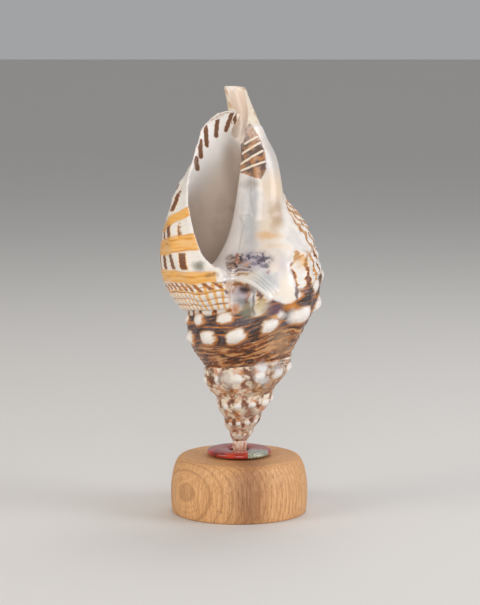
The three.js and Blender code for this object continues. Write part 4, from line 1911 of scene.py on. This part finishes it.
    # The spots of the front, whose larger ones are softer
    spot_bend: Pair = (5.0, 2.4)
    fleck_from: Pair = (0.36, 0.5)
    fleck_share: Pair = (0.35, 0.65)
    large_spot: float = 1.7
    spot_softness: Pair = (0.5, 0.85)
    mottle_streaks: tuple[float, float, Triple] = (3.2, 3.0, (0.6, 1.0, 1.4))
    mottles: tuple[tuple[Pair, Pair, tuple[Wash, ...]], ...] = (
        ((-1.0, 154.6), (8.0, 4.6), (
            Wash("#8E5A34", 0.85, (("streaks", 0.5, 0.44),)), Wash("#3A2A2C", 0.9, (("mottle", 0.52, 0.58),)),
        )),
        ((10.5, 156.4), (8.5, 4.6), (
            Wash("#8C8492", 0.85, (("streaks", 0.5, 0.44),)), Wash("#45414F", 0.9, (("mottle", 0.52, 0.58),)),
        )),
    )
    mottle_softness: float = 0.4
    spots: tuple[Spot, ...] = (
        # The first two spots are painted shade: grey-blue down the columella's hollowed face beside the mouth
        Spot("#B6B5B6", (6.6, 190.0), (6.0, 30.0), 0.85),
        Spot("#A2A9AE", (8.4, 180.0), (2.4, 16.0), 0.4),
        Spot("#8E8078", (6.6, 203.0), (5.0, 2.6), 0.6),
        Spot("#C9A27A", (19.4, 205.0), (1.7, 7.0), 0.6),
        Spot("#B9B2AC", (22.0, 222.0), (8.0, 20.0), 0.8),
        Spot("#D8BE9C", (21.0, 200.0), (6.0, 9.0), 0.7),
        Spot("#D6C2AC", (17.0, 176.0), (6.0, 16.0), 0.7),
        Spot("#A8865C", (22.6, 184.5), (3.6, 8.5), 0.8),
        Spot("#D9A566", (16.8, 171.1), (6.0, 2.0), 0.65),
        Spot("#E0B888", (22.0, 164.5), (5.0, 1.6), 0.4),
        Spot("#D8CCC0", (22.0, 158.0), (9.0, 5.0), 0.6),
        Spot("#A89CAA", (8.5, 156.0), (9.0, 5.5), 0.8),
        Spot("#8E7468", (-3.0, 154.5), (6.0, 4.0), 0.7),
        Spot("#47434F", (12.7, 157.3), (3.4, 1.2), 0.85),
        Spot("#4E4A5A", (15.4, 153.2), (2.6, 1.6), 0.8),
        Spot("#55506A", (8.0, 153.6), (2.4, 1.1), 0.7),
        Spot("#3E2A26", (6.0, 151.4), (1.3, 0.8), 0.85),
        Spot("#A0605A", (17.1, 149.0), (1.5, 1.2), 0.8),
        Spot("#9AA4AA", (15.5, 142.0), (6.5, 6.0), 0.7),
        Spot("#75606C", (1.5, 149.8), (6.5, 1.0), 0.85),
        Spot("#B07E3C", (1.0, 147.7), (6.0, 0.9), 0.85),
        Spot("#A8552E", (-1.6, 158.6), (1.1, 1.8), 0.8),
        Spot("#C99878", (4.6, 153.8), (1.6, 1.2), 0.8),
        Spot("#BDB4C4", (26.5, 152.0), (3.6, 4.6), 0.45),
        Spot("#AFA8B8", (1.0, 135.8), (5.4, 4.2), 0.75),
        Spot("#7E4A20", (1.0, 141.4), (5.5, 1.2), 0.85),
        Spot("#5E3420", (5.4, 138.4), (4.6, 2.4), 0.8),
        Spot("#2E1C1C", (3.0, 138.2), (2.2, 1.8), 0.9),
        Spot("#5A616C", (2.2, 130.6), (4.6, 2.6), 0.7),
        Spot("#7F806E", (5.0, 125.2), (4.0, 4.2), 0.9),
        Spot("#4A3540", (8.6, 130.0), (1.0, 6.5), 0.75),
        Spot("#BC7028", (-2.0, 125.9), (2.4, 2.4), 0.9),
        Spot("#CDB98F", (14.0, 128.0), (4.0, 4.4), 0.9),
        Spot("#5E4356", (20.2, 125.6), (4.6, 4.4), 0.8),
        Spot("#D8A04A", (21.5, 122.0), (3.0, 1.3), 0.7),
        Spot("#F0EAE2", (25.5, 123.0), (2.2, 2.2), 0.8),
        Spot("#CF8428", (32.0, 127.8), (4.6, 2.2), 0.9),
        Spot("#F4EEE6", (33.2, 121.2), (3.6, 3.6), 0.85),
        Spot("#552C2C", (34.6, 136.5), (1.1, 5.4), 0.85),
        Spot("#D8A04A", (38.5, 155.5), (3.4, 4.6), 0.5),
        Spot("#77766A", (-24.0, 152.4), (3.0, 2.5), 0.85),
        Spot("#5A4028", (-16.4, 147.0), (4.4, 1.2), 0.5),
        Spot("#C8A27A", (25.0, 106.0), (5.5, 7.0), 0.5),
        Spot("#E4DDD2", (-5.5, 83.5), (5.0, 4.6), 0.75, True),
        Spot("#6A4426", (-12.0, 83.0), (1.3, 4.5), 0.7),
        Spot("#6A4426", (-17.5, 84.5), (1.5, 4.0), 0.6),
        Spot("#6B4A38", (8.2, 85.5), (1.6, 8.0), 0.65),
        Spot("#DDE0E2", (13.8, 90.2), (3.6, 2.8), 0.85, True),
        Spot("#CDD0D2", (14.6, 82.4), (3.4, 2.2), 0.75, True),
        Spot("#8E8C96", (23.5, 90.4), (2.6, 3.5), 0.55),
        Spot("#EADCCB", (-11.8, 62.6), (3.2, 2.2), 0.7, True),
        Spot("#6E4E3C", (6.6, 62.4), (3.2, 3.2), 0.6),
        Spot("#4A2A1E", (-8.7, 142.5), (1.0, 0.8), 0.9),
        Spot("#4A2A1E", (-7.5, 136.3), (1.2, 1.0), 0.9),
    )

    def build(self) -> Material:
        """Builds the material.

        Returns:
            The material.
        """
        canvas, on = self.canvas, self.canvas.on
        paint = self.glazed(self.neck_side(self.outside()))
        paint = paint.over(self.mouth(), on["inside"].rise(*self.mouth_from))
        canvas.feed("Base Color", self.folded(self.spotted(paint)))
        gloss = (on["inside"] + on["callus"]).math("MINIMUM", 1.0)
        canvas.feed("Roughness", gloss * -self.gloss + self.roughness)
        canvas.feed("Coat Weight", self.coat)
        canvas.feed("Coat Roughness", self.coat_roughness)
        canvas.feed("IOR", self.index)
        lines = canvas.grown_clouds(on["angle"], on["height"], self.lines, 3.0)
        threads = on["height"].wave(self.thread_spacing) * self.thread_share
        canvas.bump((lines + threads) * gloss.flipped(), self.line_rise)
        return canvas.material

    def layered(self, colour: str, washes: tuple[Wash, ...], more: dict[str, Wire]) -> Paint:
        """Lays washes over a colour, after the canvas's own patterns and some more."""
        return self.canvas.coat(colour).washed(washes, self.canvas.on | more)

    def outside(self) -> Paint:
        """Paints the outer wall by angle and height.

        Returns:
            The colour.
        """
        angle, height = self.canvas.on["angle"], self.canvas.on["height"]
        wobble = self.canvas.grown_clouds(angle, height, self.wobble) - 0.5
        body = self.marbled(angle + wobble * self.body_sway[0], height + wobble * self.body_sway[1])
        lip = self.banded(angle + wobble * self.lip_sway[0], height + wobble * self.lip_sway[1])
        edge = angle + wobble * self.edge_sway
        body = body.over(lip, edge.rise(*self.lip_from))
        return body.over(self.worn(height + wobble * self.worn_sway), edge.rise(*self.worn_from))

    def banded(self, angle: Wire, height: Wire) -> Paint:
        """Paints the lip side: ochre bands on white, brown stripes across, and rows of beads below.

        Args:
            angle: The angle about the axis, a little uneven.
            height: The height on the whorl, a little uneven.

        Returns:
            The colour.
        """
        streak = self.canvas.grown_clouds(angle, height, self.streaks)
        stripe = (angle + height * self.stripe_slant).wave(self.stripes.step, self.stripes.start)
        strength = streak.rise(*self.band_streaks) * self.band_strength[0] + self.band_strength[1]
        on = {
            "streak": streak, "stripe": stripe + (streak - 0.5) * self.stripe_sway, "height": height,
            "lead": self.canvas.on["lip_lead"] + (streak - 0.5) * self.white_lip_sway,
            "beads": angle.wave(BEAD_STEP),
            "slanted": (angle + height * self.bead_slant).wave(self.slanted_step),
            "cords": height.wave(FINE_CORDS.step, FINE_CORDS.start), "strength": strength,
        }
        paint = self.layered(self.white, self.lip_washes, on)
        for middle, half in self.stripe_rows:
            past = (height - middle).math("ABSOLUTE") - half
            paint = paint.washed(self.stripe_washes, on | {"past": past})
        for middle, half, tilt in self.lip_bands:
            level = (angle - self.tilt_about).math("MAXIMUM", self.tilt_least) * tilt + middle
            past = (height - level).math("ABSOLUTE") - half
            paint = paint.washed(self.band_washes, on | {"past": past})
        return paint.washed(self.bead_washes, on, height.rise(*self.beads_below))

    def marbled(self, angle: Wire, height: Wire) -> Paint:
        """Paints the body: streaks, then columns of pale drops, then white knobs on chocolate.

        Args:
            angle: The angle about the axis, a little uneven.
            height: The height on the whorl, a little uneven.

        Returns:
            The colour.
        """
        grown = self.canvas.grown_clouds
        cloud, speck = grown(angle, height, self.cloud), grown(angle, height, self.speck)
        older = angle.rise(*self.older_from)
        on = {
            "cloud": cloud, "speck": speck, "older": older, "streak": grown(angle, height, self.streak, 3.0),
            "slant": grown(angle + height * self.slant_rise, height, self.slant, 3.0),
            "cords": height.wave(FINE_CORDS.step, FINE_CORDS.start),
        }
        share = height.rise(*self.marks_above) * (older * -self.older_share + 1.0)
        paint = self.layered(self.brown, self.low_washes, on)
        paint = paint.over(self.layered(self.chocolate, self.ground_washes, on), share)
        turned = angle + (cloud - 0.5) * self.column_sway
        for drops in self.drops:
            columns = turned.wave(self.columns.step, self.columns.start + drops.shift * self.columns.step)
            middle, half = (drops.low + drops.high) / 2, (drops.high - drops.low) / 2
            past = (height + (speck - 0.5) * self.drop_sway - middle).math("ABSOLUTE") - half
            drop = {"drop": columns * (past.rise(*self.drop_ends) * 0.5 + 0.5)}
            belt = self.canvas.coat(self.tan).washed(self.warm_washes, on | drop, drops.warmth)
            belt = belt.washed(self.pale_washes, drop)
            paint = paint.over(belt, (height - drops.low).rise(*self.belt_edge))
        for row in KNOB_ROWS:
            steps = (angle - row.first) / KNOB_STEP
            away = (steps - steps.math("ROUND")) * (KNOB_STEP / row.cap[0])
            above = (height - row.level) / row.cap[1]
            parts = [part.math("ABSOLUTE").math("POWER", self.cap_power) for part in (away, above)]
            far = (parts[0] + parts[1]).math("POWER", 1 / self.cap_power) - older * self.cap_older
            far = far + (speck - 0.5) * self.cap_specks + (cloud - 0.5) * self.cap_clouds
            paint = paint.washed(self.cap_washes, {"far": far, "below": away * self.halo_side - above})
        return paint

    def worn(self, height: Wire) -> Paint:
        """Paints the worn spire: cream, pink, brown spots, pale knobs, partly painted shade between knobs and
        painted shade at seams.

        Args:
            height: The height on the whorl, a little uneven.

        Returns:
            The colour.
        """
        angle, cloud = self.canvas.on["angle"], self.canvas.on["worn_cloud"]
        knobs = KNOB_ROWS[0]
        # Bars midway between the knobs, partly painted shade between them
        bars = (angle + (cloud - 0.5) * self.bar_sway).wave(self.bars.step, self.bars.start)
        cap = angle.wave(KNOB_STEP, knobs.first) * height.bump(knobs.level, self.worn_cap)
        return self.layered(self.tan, self.worn_washes, {"height": height, "bars": bars, "cap": cap})

    def neck_side(self, outer: Paint) -> Paint:
        """Paints the neck of the canal and the rim over the outer wall's colours."""
        neck = self.layered(self.cream, self.neck_washes, {})
        neck = outer.over(neck, self.canvas.on["neck"].rise(*self.neck_from))
        return neck.washed(self.rim_washes, self.canvas.on)

    def glazed(self, outer: Paint) -> Paint:
        """Lays the callus over the outer wall's colours."""
        share = self.canvas.on["callus"].rise(*self.glaze_from) * self.glaze_share
        return outer.over(self.layered(self.white, self.glaze_washes, {}), share)

    def spotted(self, paint: Paint) -> Paint:
        """Lays the front's coloured spots, with uneven edges; the larger ones are softer.

        Args:
            paint: The colour under them.

        Returns:
            The colour.
        """
        canvas, front = self.canvas, self.canvas.on["front"]
        bent = canvas.warped(canvas.plane, *self.spot_bend)
        fleck = canvas.on["fleck"].rise(*self.fleck_from) * self.fleck_share[0] + self.fleck_share[1]
        for spot in self.spots:
            large = min(spot.half) > self.large_spot and not spot.crisp
            cover = canvas.blot(bent, spot.middle, spot.half, self.spot_softness[large]) * front
            paint = paint.over(spot.colour, cover * spot.strength * (1.0 if large else fleck))
        on = canvas.on | {"streaks": canvas.clouds(*self.mottle_streaks)}
        for middle, half, washes in self.mottles:
            area = canvas.blot(bent, middle, half, self.mottle_softness) * front
            paint = paint.washed(washes, on, area)
        return paint

    def folded(self, paint: Paint) -> Paint:
        """Paints the brown patch with its pale folds beside the mouth, and the ridges below it.

        Args:
            paint: The colour under them.

        Returns:
            The colour.
        """
        on = self.canvas.on
        slope, level, reach = self.patch_low
        lighter = (on["across"] * slope - on["up"] + level).rise(0.0, reach) * self.patch_lighter
        strength = on["grit"].rise(*self.top_grit) * self.top_strength[0] + self.top_strength[1]
        more = {"cloud": on["patch_cloud"] + lighter, "top": on["up"].rise(*self.patch_top) * strength}
        patch = self.layered(self.patch_brown, self.patch_washes, more)
        ragged = on["patch"] + (on["grit"] - 0.5) * self.patch_ragged
        share = on["patch"].rise(*self.patch_from) * ragged.rise(*self.ragged_from)
        return paint.over(patch, share * self.patch_share).washed((self.ridge_wash,), on)

    def mouth(self) -> Paint:
        """Paints the inside: white by the lip, warmer further in, with painted shade deeper in and at its
        lower right, and brown teeth marks.

        Returns:
            The colour.
        """
        canvas, on = self.canvas, self.canvas.on
        (x, y), (side, rise) = self.shade_edge_middle, self.shade_edge_slope
        paint = self.layered(self.porcelain, self.mouth_washes, {
            "lead": on["lip_lead"] + (on["mouth_cloud"] - 0.5) * self.deep_sway,
            # Painted shade: a slanting edge and a soft blot darken the inside's lower right
            "canal": (on["across"] - x) * side - (on["up"] - y) * rise,
            "shade": canvas.blot(canvas.plane, *self.shade_blot),
        })
        bent = canvas.warped(canvas.plane, *self.tooth_bend)
        for ends in self.teeth:
            mark = canvas.stroke(bent, ends, self.tooth_width) * on["lip_lead"].rise(*self.tooth_from)
            paint = paint.washed(self.tooth_washes, {"mark": mark})
        return paint


@dataclass(frozen=True)
class JasperFinish:
    """Cut and polished red jasper with a grey-green part."""

    # The polish is as smooth as glass, so the ring shows sharp lights on deep red clouds
    name: str = "polished_red_jasper"
    red: str = "#A02818"
    bright: str = "#C23C22"
    dark: str = "#5C1410"
    green: str = "#8A9080"
    pale: str = "#B8B8A4"
    cloud_size: float = 6.0
    grain: float = 1.5
    coat: float = 0.5
    coat_roughness: float = 0.05
    roughness: Pair = (0.1, 0.08)
    unevenness: float = 0.05
    green_edges: tuple[Pair, Pair] = ((5.0, 5.8), (18.9, 17.1))
    green_depth: Pair = (-2.0, -8.0)
    red_washes: tuple[Wash, ...] = (
        Wash(bright, 0.7, (("cloud", 0.46, 0.6),)), Wash(dark, 0.8, (("cloud", 0.44, 0.34),)),
    )
    green_washes: tuple[Wash, ...] = (
        Wash(pale, 1.0, (("fine", 0.48, 0.6),)), Wash(dark, 0.6, (("fine", 0.4, 0.32),)),
    )

    def build(self) -> Material:
        """Builds the material.

        Returns:
            The material.
        """
        canvas = Canvas.of(self.name)
        cloud, fine = canvas.clouds(self.cloud_size, 3.0), canvas.clouds(self.grain)
        x, y, _ = (part / MM for part in canvas.parts(canvas.place))
        left, right = self.green_edges
        share = x.rise(*left) * x.rise(*right) * y.rise(*self.green_depth)
        green = canvas.coat(self.green).washed(self.green_washes, {"fine": fine})
        paint = canvas.coat(self.red).washed(self.red_washes, {"cloud": cloud}).over(green, share)
        canvas.feed("Base Color", paint)
        canvas.feed("Roughness", fine * self.roughness[0] + self.roughness[1])
        canvas.feed("Coat Weight", self.coat)
        canvas.feed("Coat Roughness", self.coat_roughness)
        canvas.bump(cloud, self.unevenness)
        return canvas.material


@dataclass(frozen=True)
class WoodFinish:
    """Turned and sanded light hardwood, thinly oiled."""

    # The grain stands upright: open pores show as short dashes, rings as tall ovals on one side. The pores
    # are drawn a little coarser than real ones, which would be too fine to show
    name: str = "turned_hardwood"
    light: str = "#E0AC76"
    middle: str = "#C5905C"
    dark: str = "#83502F"
    pore: str = "#5E3820"
    pith: Triple = (48.0, 36.0, 20.6)
    bulge: float = 0.004
    ring_step: float = 0.55
    broad_rings: float = 5.3
    ring_grain: float = 30.0
    ring_sway: float = 2.4
    fibres: Triple = (0.9, 0.9, 0.07)
    pores: Triple = (2.6, 2.6, 0.33)
    pores_from: Pair = (0.61, 0.7)
    # Painted shade: a darker band down the middle of the base, seen from the front, broken up by the fibres
    shade_band: tuple[Pair, Pair] = ((6.0, 17.0), (9.0, 26.0))
    shade_band_edge: float = 0.9
    shade_band_fibres: Pair = (0.6, 0.45)
    roughness: Pair = (0.15, 0.45)
    pore_depth: float = 0.1
    ring_share: float = 0.2
    washes: tuple[Wash, ...] = (
        Wash(middle, 0.8, (("fibres", 0.38, 0.62),)), Wash(middle, 0.45, (("rings", 0.3, 0.95),)),
        Wash(dark, 0.3, (("broad", 0.75, 1.0),)), Wash(dark, 1.0, ("shade_band",)), Wash(pore, 0.6, ("pores",)),
    )

    def build(self) -> Material:
        """Builds the material.

        Returns:
            The material.
        """
        canvas = Canvas.of(self.name)
        x, y, z = (part / MM for part in canvas.parts(canvas.place))
        dx, dy, dz = x - self.pith[0], y - self.pith[1], z - self.pith[2]
        sway = (canvas.clouds(self.ring_grain) - 0.5) * self.ring_sway
        reach = (dx * dx + dy * dy).math("SQRT") - dz * dz * self.bulge + sway
        rings = reach.wave(self.ring_step)
        fibres = canvas.clouds(1.0, 3.0, self.fibres)
        pores = canvas.clouds(1.0, 2.0, self.pores).rise(*self.pores_from)
        # Painted shade down the middle of the base
        shade_band = canvas.blot(canvas.vector(x, z), *self.shade_band, self.shade_band_edge)
        on = {
            "fibres": fibres, "rings": rings, "broad": reach.wave(self.ring_step * self.broad_rings),
            "shade_band": shade_band * (fibres * self.shade_band_fibres[0] + self.shade_band_fibres[1]), "pores": pores,
        }
        canvas.feed("Base Color", canvas.coat(self.light).washed(self.washes, on))
        canvas.feed("Roughness", fibres * self.roughness[0] + self.roughness[1])
        canvas.bump(pores.flipped() + rings * self.ring_share, self.pore_depth)
        return canvas.material


@dataclass(frozen=True)
class StoneRing:
    """The flat polished ring that the shell's tip stands in."""

    finish: Material
    middle_radius: float = 13.0
    half_width: float = 7.0
    thickness: float = 4.2
    squareness: float = 0.8
    height: float = 37.4
    around: int = 220
    section: int = 56

    def tree(self, sizes: dict[str, Any]) -> NodeTree:
        """Builds the geometry tree: a rounded section swept round a circle.

        Args:
            sizes: The values of its inputs.

        Returns:
            The tree.
        """
        tree, given = new_tree("Stone ring", sizes)
        circle = "GeometryNodeCurvePrimitiveCircle"
        inputs = {"Resolution": given["Around"], "Radius": given["Middle Radius"]}
        path = add_node(tree, circle, None, inputs)
        unit = add_node(tree, circle, None, {"Resolution": given["Section Points"], "Radius": 1.0})
        position = add_node(tree, "GeometryNodeInputPosition").outputs[0]
        place = add_node(tree, "ShaderNodeSeparateXYZ", None, {0: position})
        rounded = {}
        for part, label in enumerate(("Half Width", "Half Thickness")):
            value = Wire(tree, place.outputs[part])
            size = value.math("ABSOLUTE").math("POWER", given["Squareness"])
            rounded[part] = value.math("SIGN") * size * given[label]
        oval = add_node(tree, "ShaderNodeCombineXYZ", None, rounded).outputs[0]
        move = "GeometryNodeSetPosition"
        section = add_node(tree, move, None, {"Geometry": unit.outputs[0], "Position": oval})
        swept = add_node(tree, "GeometryNodeCurveToMesh", None, {0: path.outputs[0], 1: section.outputs[0]})
        lift = add_node(tree, "ShaderNodeCombineXYZ", None, {2: given["Height"]}).outputs[0]
        raised = add_node(tree, move, None, {"Geometry": swept.outputs[0], "Offset": lift})
        close_tree(tree, raised.outputs[0], given["Finish"])
        return tree

    def build(self) -> Object:
        """Builds the ring and dresses it.

        Returns:
            The finished piece.
        """
        sizes = {
            "Middle Radius": self.middle_radius * MM, "Half Width": self.half_width * MM,
            "Half Thickness": self.thickness / 2 * MM, "Squareness": self.squareness,
            "Height": self.height * MM, "Around": self.around, "Section Points": self.section,
            "Finish": self.finish,
        }
        blank = linked("stone_ring_piece", bpy.data.meshes.new("blank"))
        made = grown(blank, self.tree(sizes), sizes)
        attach(made, BODY)
        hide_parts("stone_ring")
        return made


@dataclass(frozen=True)
class WoodenBase:
    """The turned base: a low drum with a bulging side, a rounded shoulder and a blind socket."""

    finish: Material
    foot: tuple[Pair, ...] = ((0.0, 0.0), (20.0, 0.0), (36.0, 0.0), (40.6, 0.0), (41.3, 0.3), (41.6, 1.0))
    side: tuple[Pair, Pair, Pair, Pair] = ((41.6, 1.0), (43.0, 11.67), (42.4, 23.33), (39.6, 30.0))
    shoulder: tuple[Pair, Pair, Pair] = ((39.6, 30.0), (37.8, 35.0), (34.2, 35.0))
    top: tuple[Pair, ...] = (
        (26.0, 35.0), (15.0, 35.0), (6.0, 35.0), (5.6, 34.7), (5.6, 30.2), (5.3, 29.8), (0.0, 29.8),
    )
    side_steps: int = 26
    shoulder_steps: int = 16
    around: int = 256
    sharp_from: float = math.radians(50)

    def outline(self) -> Array:
        """Lists the corners of the turned outline, from the foot's middle up to the socket's middle.

        Returns:
            The radii and heights, one corner a row.
        """
        curves = []
        for corners, steps in ((self.side, self.side_steps), (self.shoulder, self.shoulder_steps)):
            t = np.linspace(0, 1, steps + 1)[1:, None]
            last = len(corners) - 1
            shares = (math.comb(last, k) * t ** k * (1 - t) ** (last - k) for k in range(last + 1))
            curves.append(sum(np.array(corner) * share for corner, share in zip(corners, shares)))
        return np.vstack([self.foot, *curves, self.top])

    def build(self) -> Object:
        """Builds the base and dresses it.

        Returns:
            The finished piece.
        """
        line = self.outline() * MM
        turn = np.linspace(0, 2 * math.pi, self.around, endpoint=False)
        rings = line[1:-1]
        radius, height = rings[:, 0:1], rings[:, 1:2]
        x, y = radius * np.cos(turn), radius * np.sin(turn)
        points = np.stack([x, y, np.broadcast_to(height, x.shape)], axis=-1).reshape(-1, 3)
        count, around = len(rings), self.around
        faces = between_rings(count, around)
        foot, socket = len(points), len(points) + 1
        for j in range(around):
            k = (j + 1) % around
            faces.append((foot, k, j))
            faces.append((socket, (count - 1) * around + j, (count - 1) * around + k))
        points = np.vstack([points, [0, 0, line[0, 1]], [0, 0, line[-1, 1]]])
        mesh = bpy.data.meshes.new("wooden_base_piece")
        mesh.from_pydata(points.tolist(), [], faces)
        mesh.materials.append(self.finish)
        mesh.shade_smooth()
        mesh.set_sharp_from_angle(angle=self.sharp_from)
        made = linked("wooden_base_piece", mesh)
        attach(made, BODY)
        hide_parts("wooden_base")
        return made


@dataclass(frozen=True)
class Studio:
    """A plain pale floor, soft lights and the camera of the photo's viewing angle."""

    target: Triple = (0.0005, 0.0, 0.1303)
    distance: float = 1.6
    seen_height: float = 0.372
    sensor: float = 24.0
    floor_size: float = 12.0
    floor_colour: str = "#D8D5D0"
    floor_clouds: Wash = Wash("#CFCCC7", 0.3, ("cloud",))
    floor_cloud_size: float = 400.0
    floor_roughness: float = 0.8
    clip_end: float = 20.0
    sky_colour: str = "#E8E9EC"
    sky_strength: float = 0.45
    lamps: tuple[tuple[Triple, float, float, str], ...] = (
        ((-0.95, -0.45, 0.65), 0.6, 5.0, "#FFF7EC"),
        ((1.0, -0.3, 0.5), 0.6, 6.5, "#F6F7FF"),
        ((0.2, 0.6, 1.2), 0.8, 5.0, "#FFFFFF"),
        ((0.02, -1.5, 0.32), 0.7, 8.5, "#FFFCF8"),
    )

    def build(self) -> None:
        """Builds the floor, the sky, the lights and the camera."""
        self.floor()
        world = bpy.data.worlds.new("studio")
        world.use_nodes = True
        sky = next(n for n in world.node_tree.nodes if n.type == "BACKGROUND")
        sky.inputs["Color"].default_value = linear(self.sky_colour)
        sky.inputs["Strength"].default_value = self.sky_strength
        bpy.context.scene.world = world
        bpy.context.scene.view_settings.view_transform = "Standard"
        for number, (place, size, power, colour) in enumerate(self.lamps):
            lamp = bpy.data.lights.new(f"soft_light_{number}", "AREA")
            lamp.size = size
            lamp.energy = power
            lamp.color = linear(colour)[:3]
            self.aim(linked(lamp.name, lamp), Vector(place), Vector(self.target))
        self.camera()

    def floor(self) -> None:
        """Lays the floor."""
        half = self.floor_size / 2
        corners = [(-half, -half, 0), (half, -half, 0), (half, half, 0), (-half, half, 0)]
        mesh = bpy.data.meshes.new("floor")
        mesh.from_pydata(corners, [], [(0, 1, 2, 3)])
        canvas = Canvas.of("matt_studio_floor")
        on = {"cloud": canvas.clouds(self.floor_cloud_size)}
        canvas.feed("Base Color", canvas.coat(self.floor_colour).washed((self.floor_clouds,), on))
        canvas.feed("Roughness", self.floor_roughness)
        mesh.materials.append(canvas.material)
        floor = linked("floor", mesh)

    def camera(self) -> None:
        """Places the camera."""
        data = bpy.data.cameras.new("camera")
        data.sensor_fit = "VERTICAL"
        data.sensor_height = self.sensor
        data.lens = self.sensor * self.distance / self.seen_height
        data.clip_end = self.clip_end
        middle = Vector(self.target)
        away = Vector((0, -math.cos(VIEW_ELEVATION), math.sin(VIEW_ELEVATION))) * self.distance
        camera = linked("camera", data)
        self.aim(camera, middle + away, middle)
        bpy.context.scene.camera = camera

    def aim(self, thing: Object, place: Vector, target: Vector) -> None:
        """Puts a light or the camera in its place, looking at a point."""
        thing.location = place
        thing.rotation_euler = (target - place).to_track_quat("-Z", "Y").to_euler()


def main() -> None:
    """Builds the pieces in order, then the studio, and notes the sizes."""
    logging.basicConfig(level=logging.INFO, format="%(message)s")
    for piece in (
        WoodenBase(WoodFinish().build()).build(),
        StoneRing(JasperFinish().build()).build(),
        Shell(ShellFinish().build()).build(),
    ):
        piece.data.calc_loop_triangles()
        size = [round(v / MM, 1) for v in piece.dimensions]
        log.info("%s: %d triangles, %s mm", piece.name, len(piece.data.loop_triangles), size)
    Studio().build()
    bpy.context.view_layer.update()


if __name__ == "__main__":
    main()
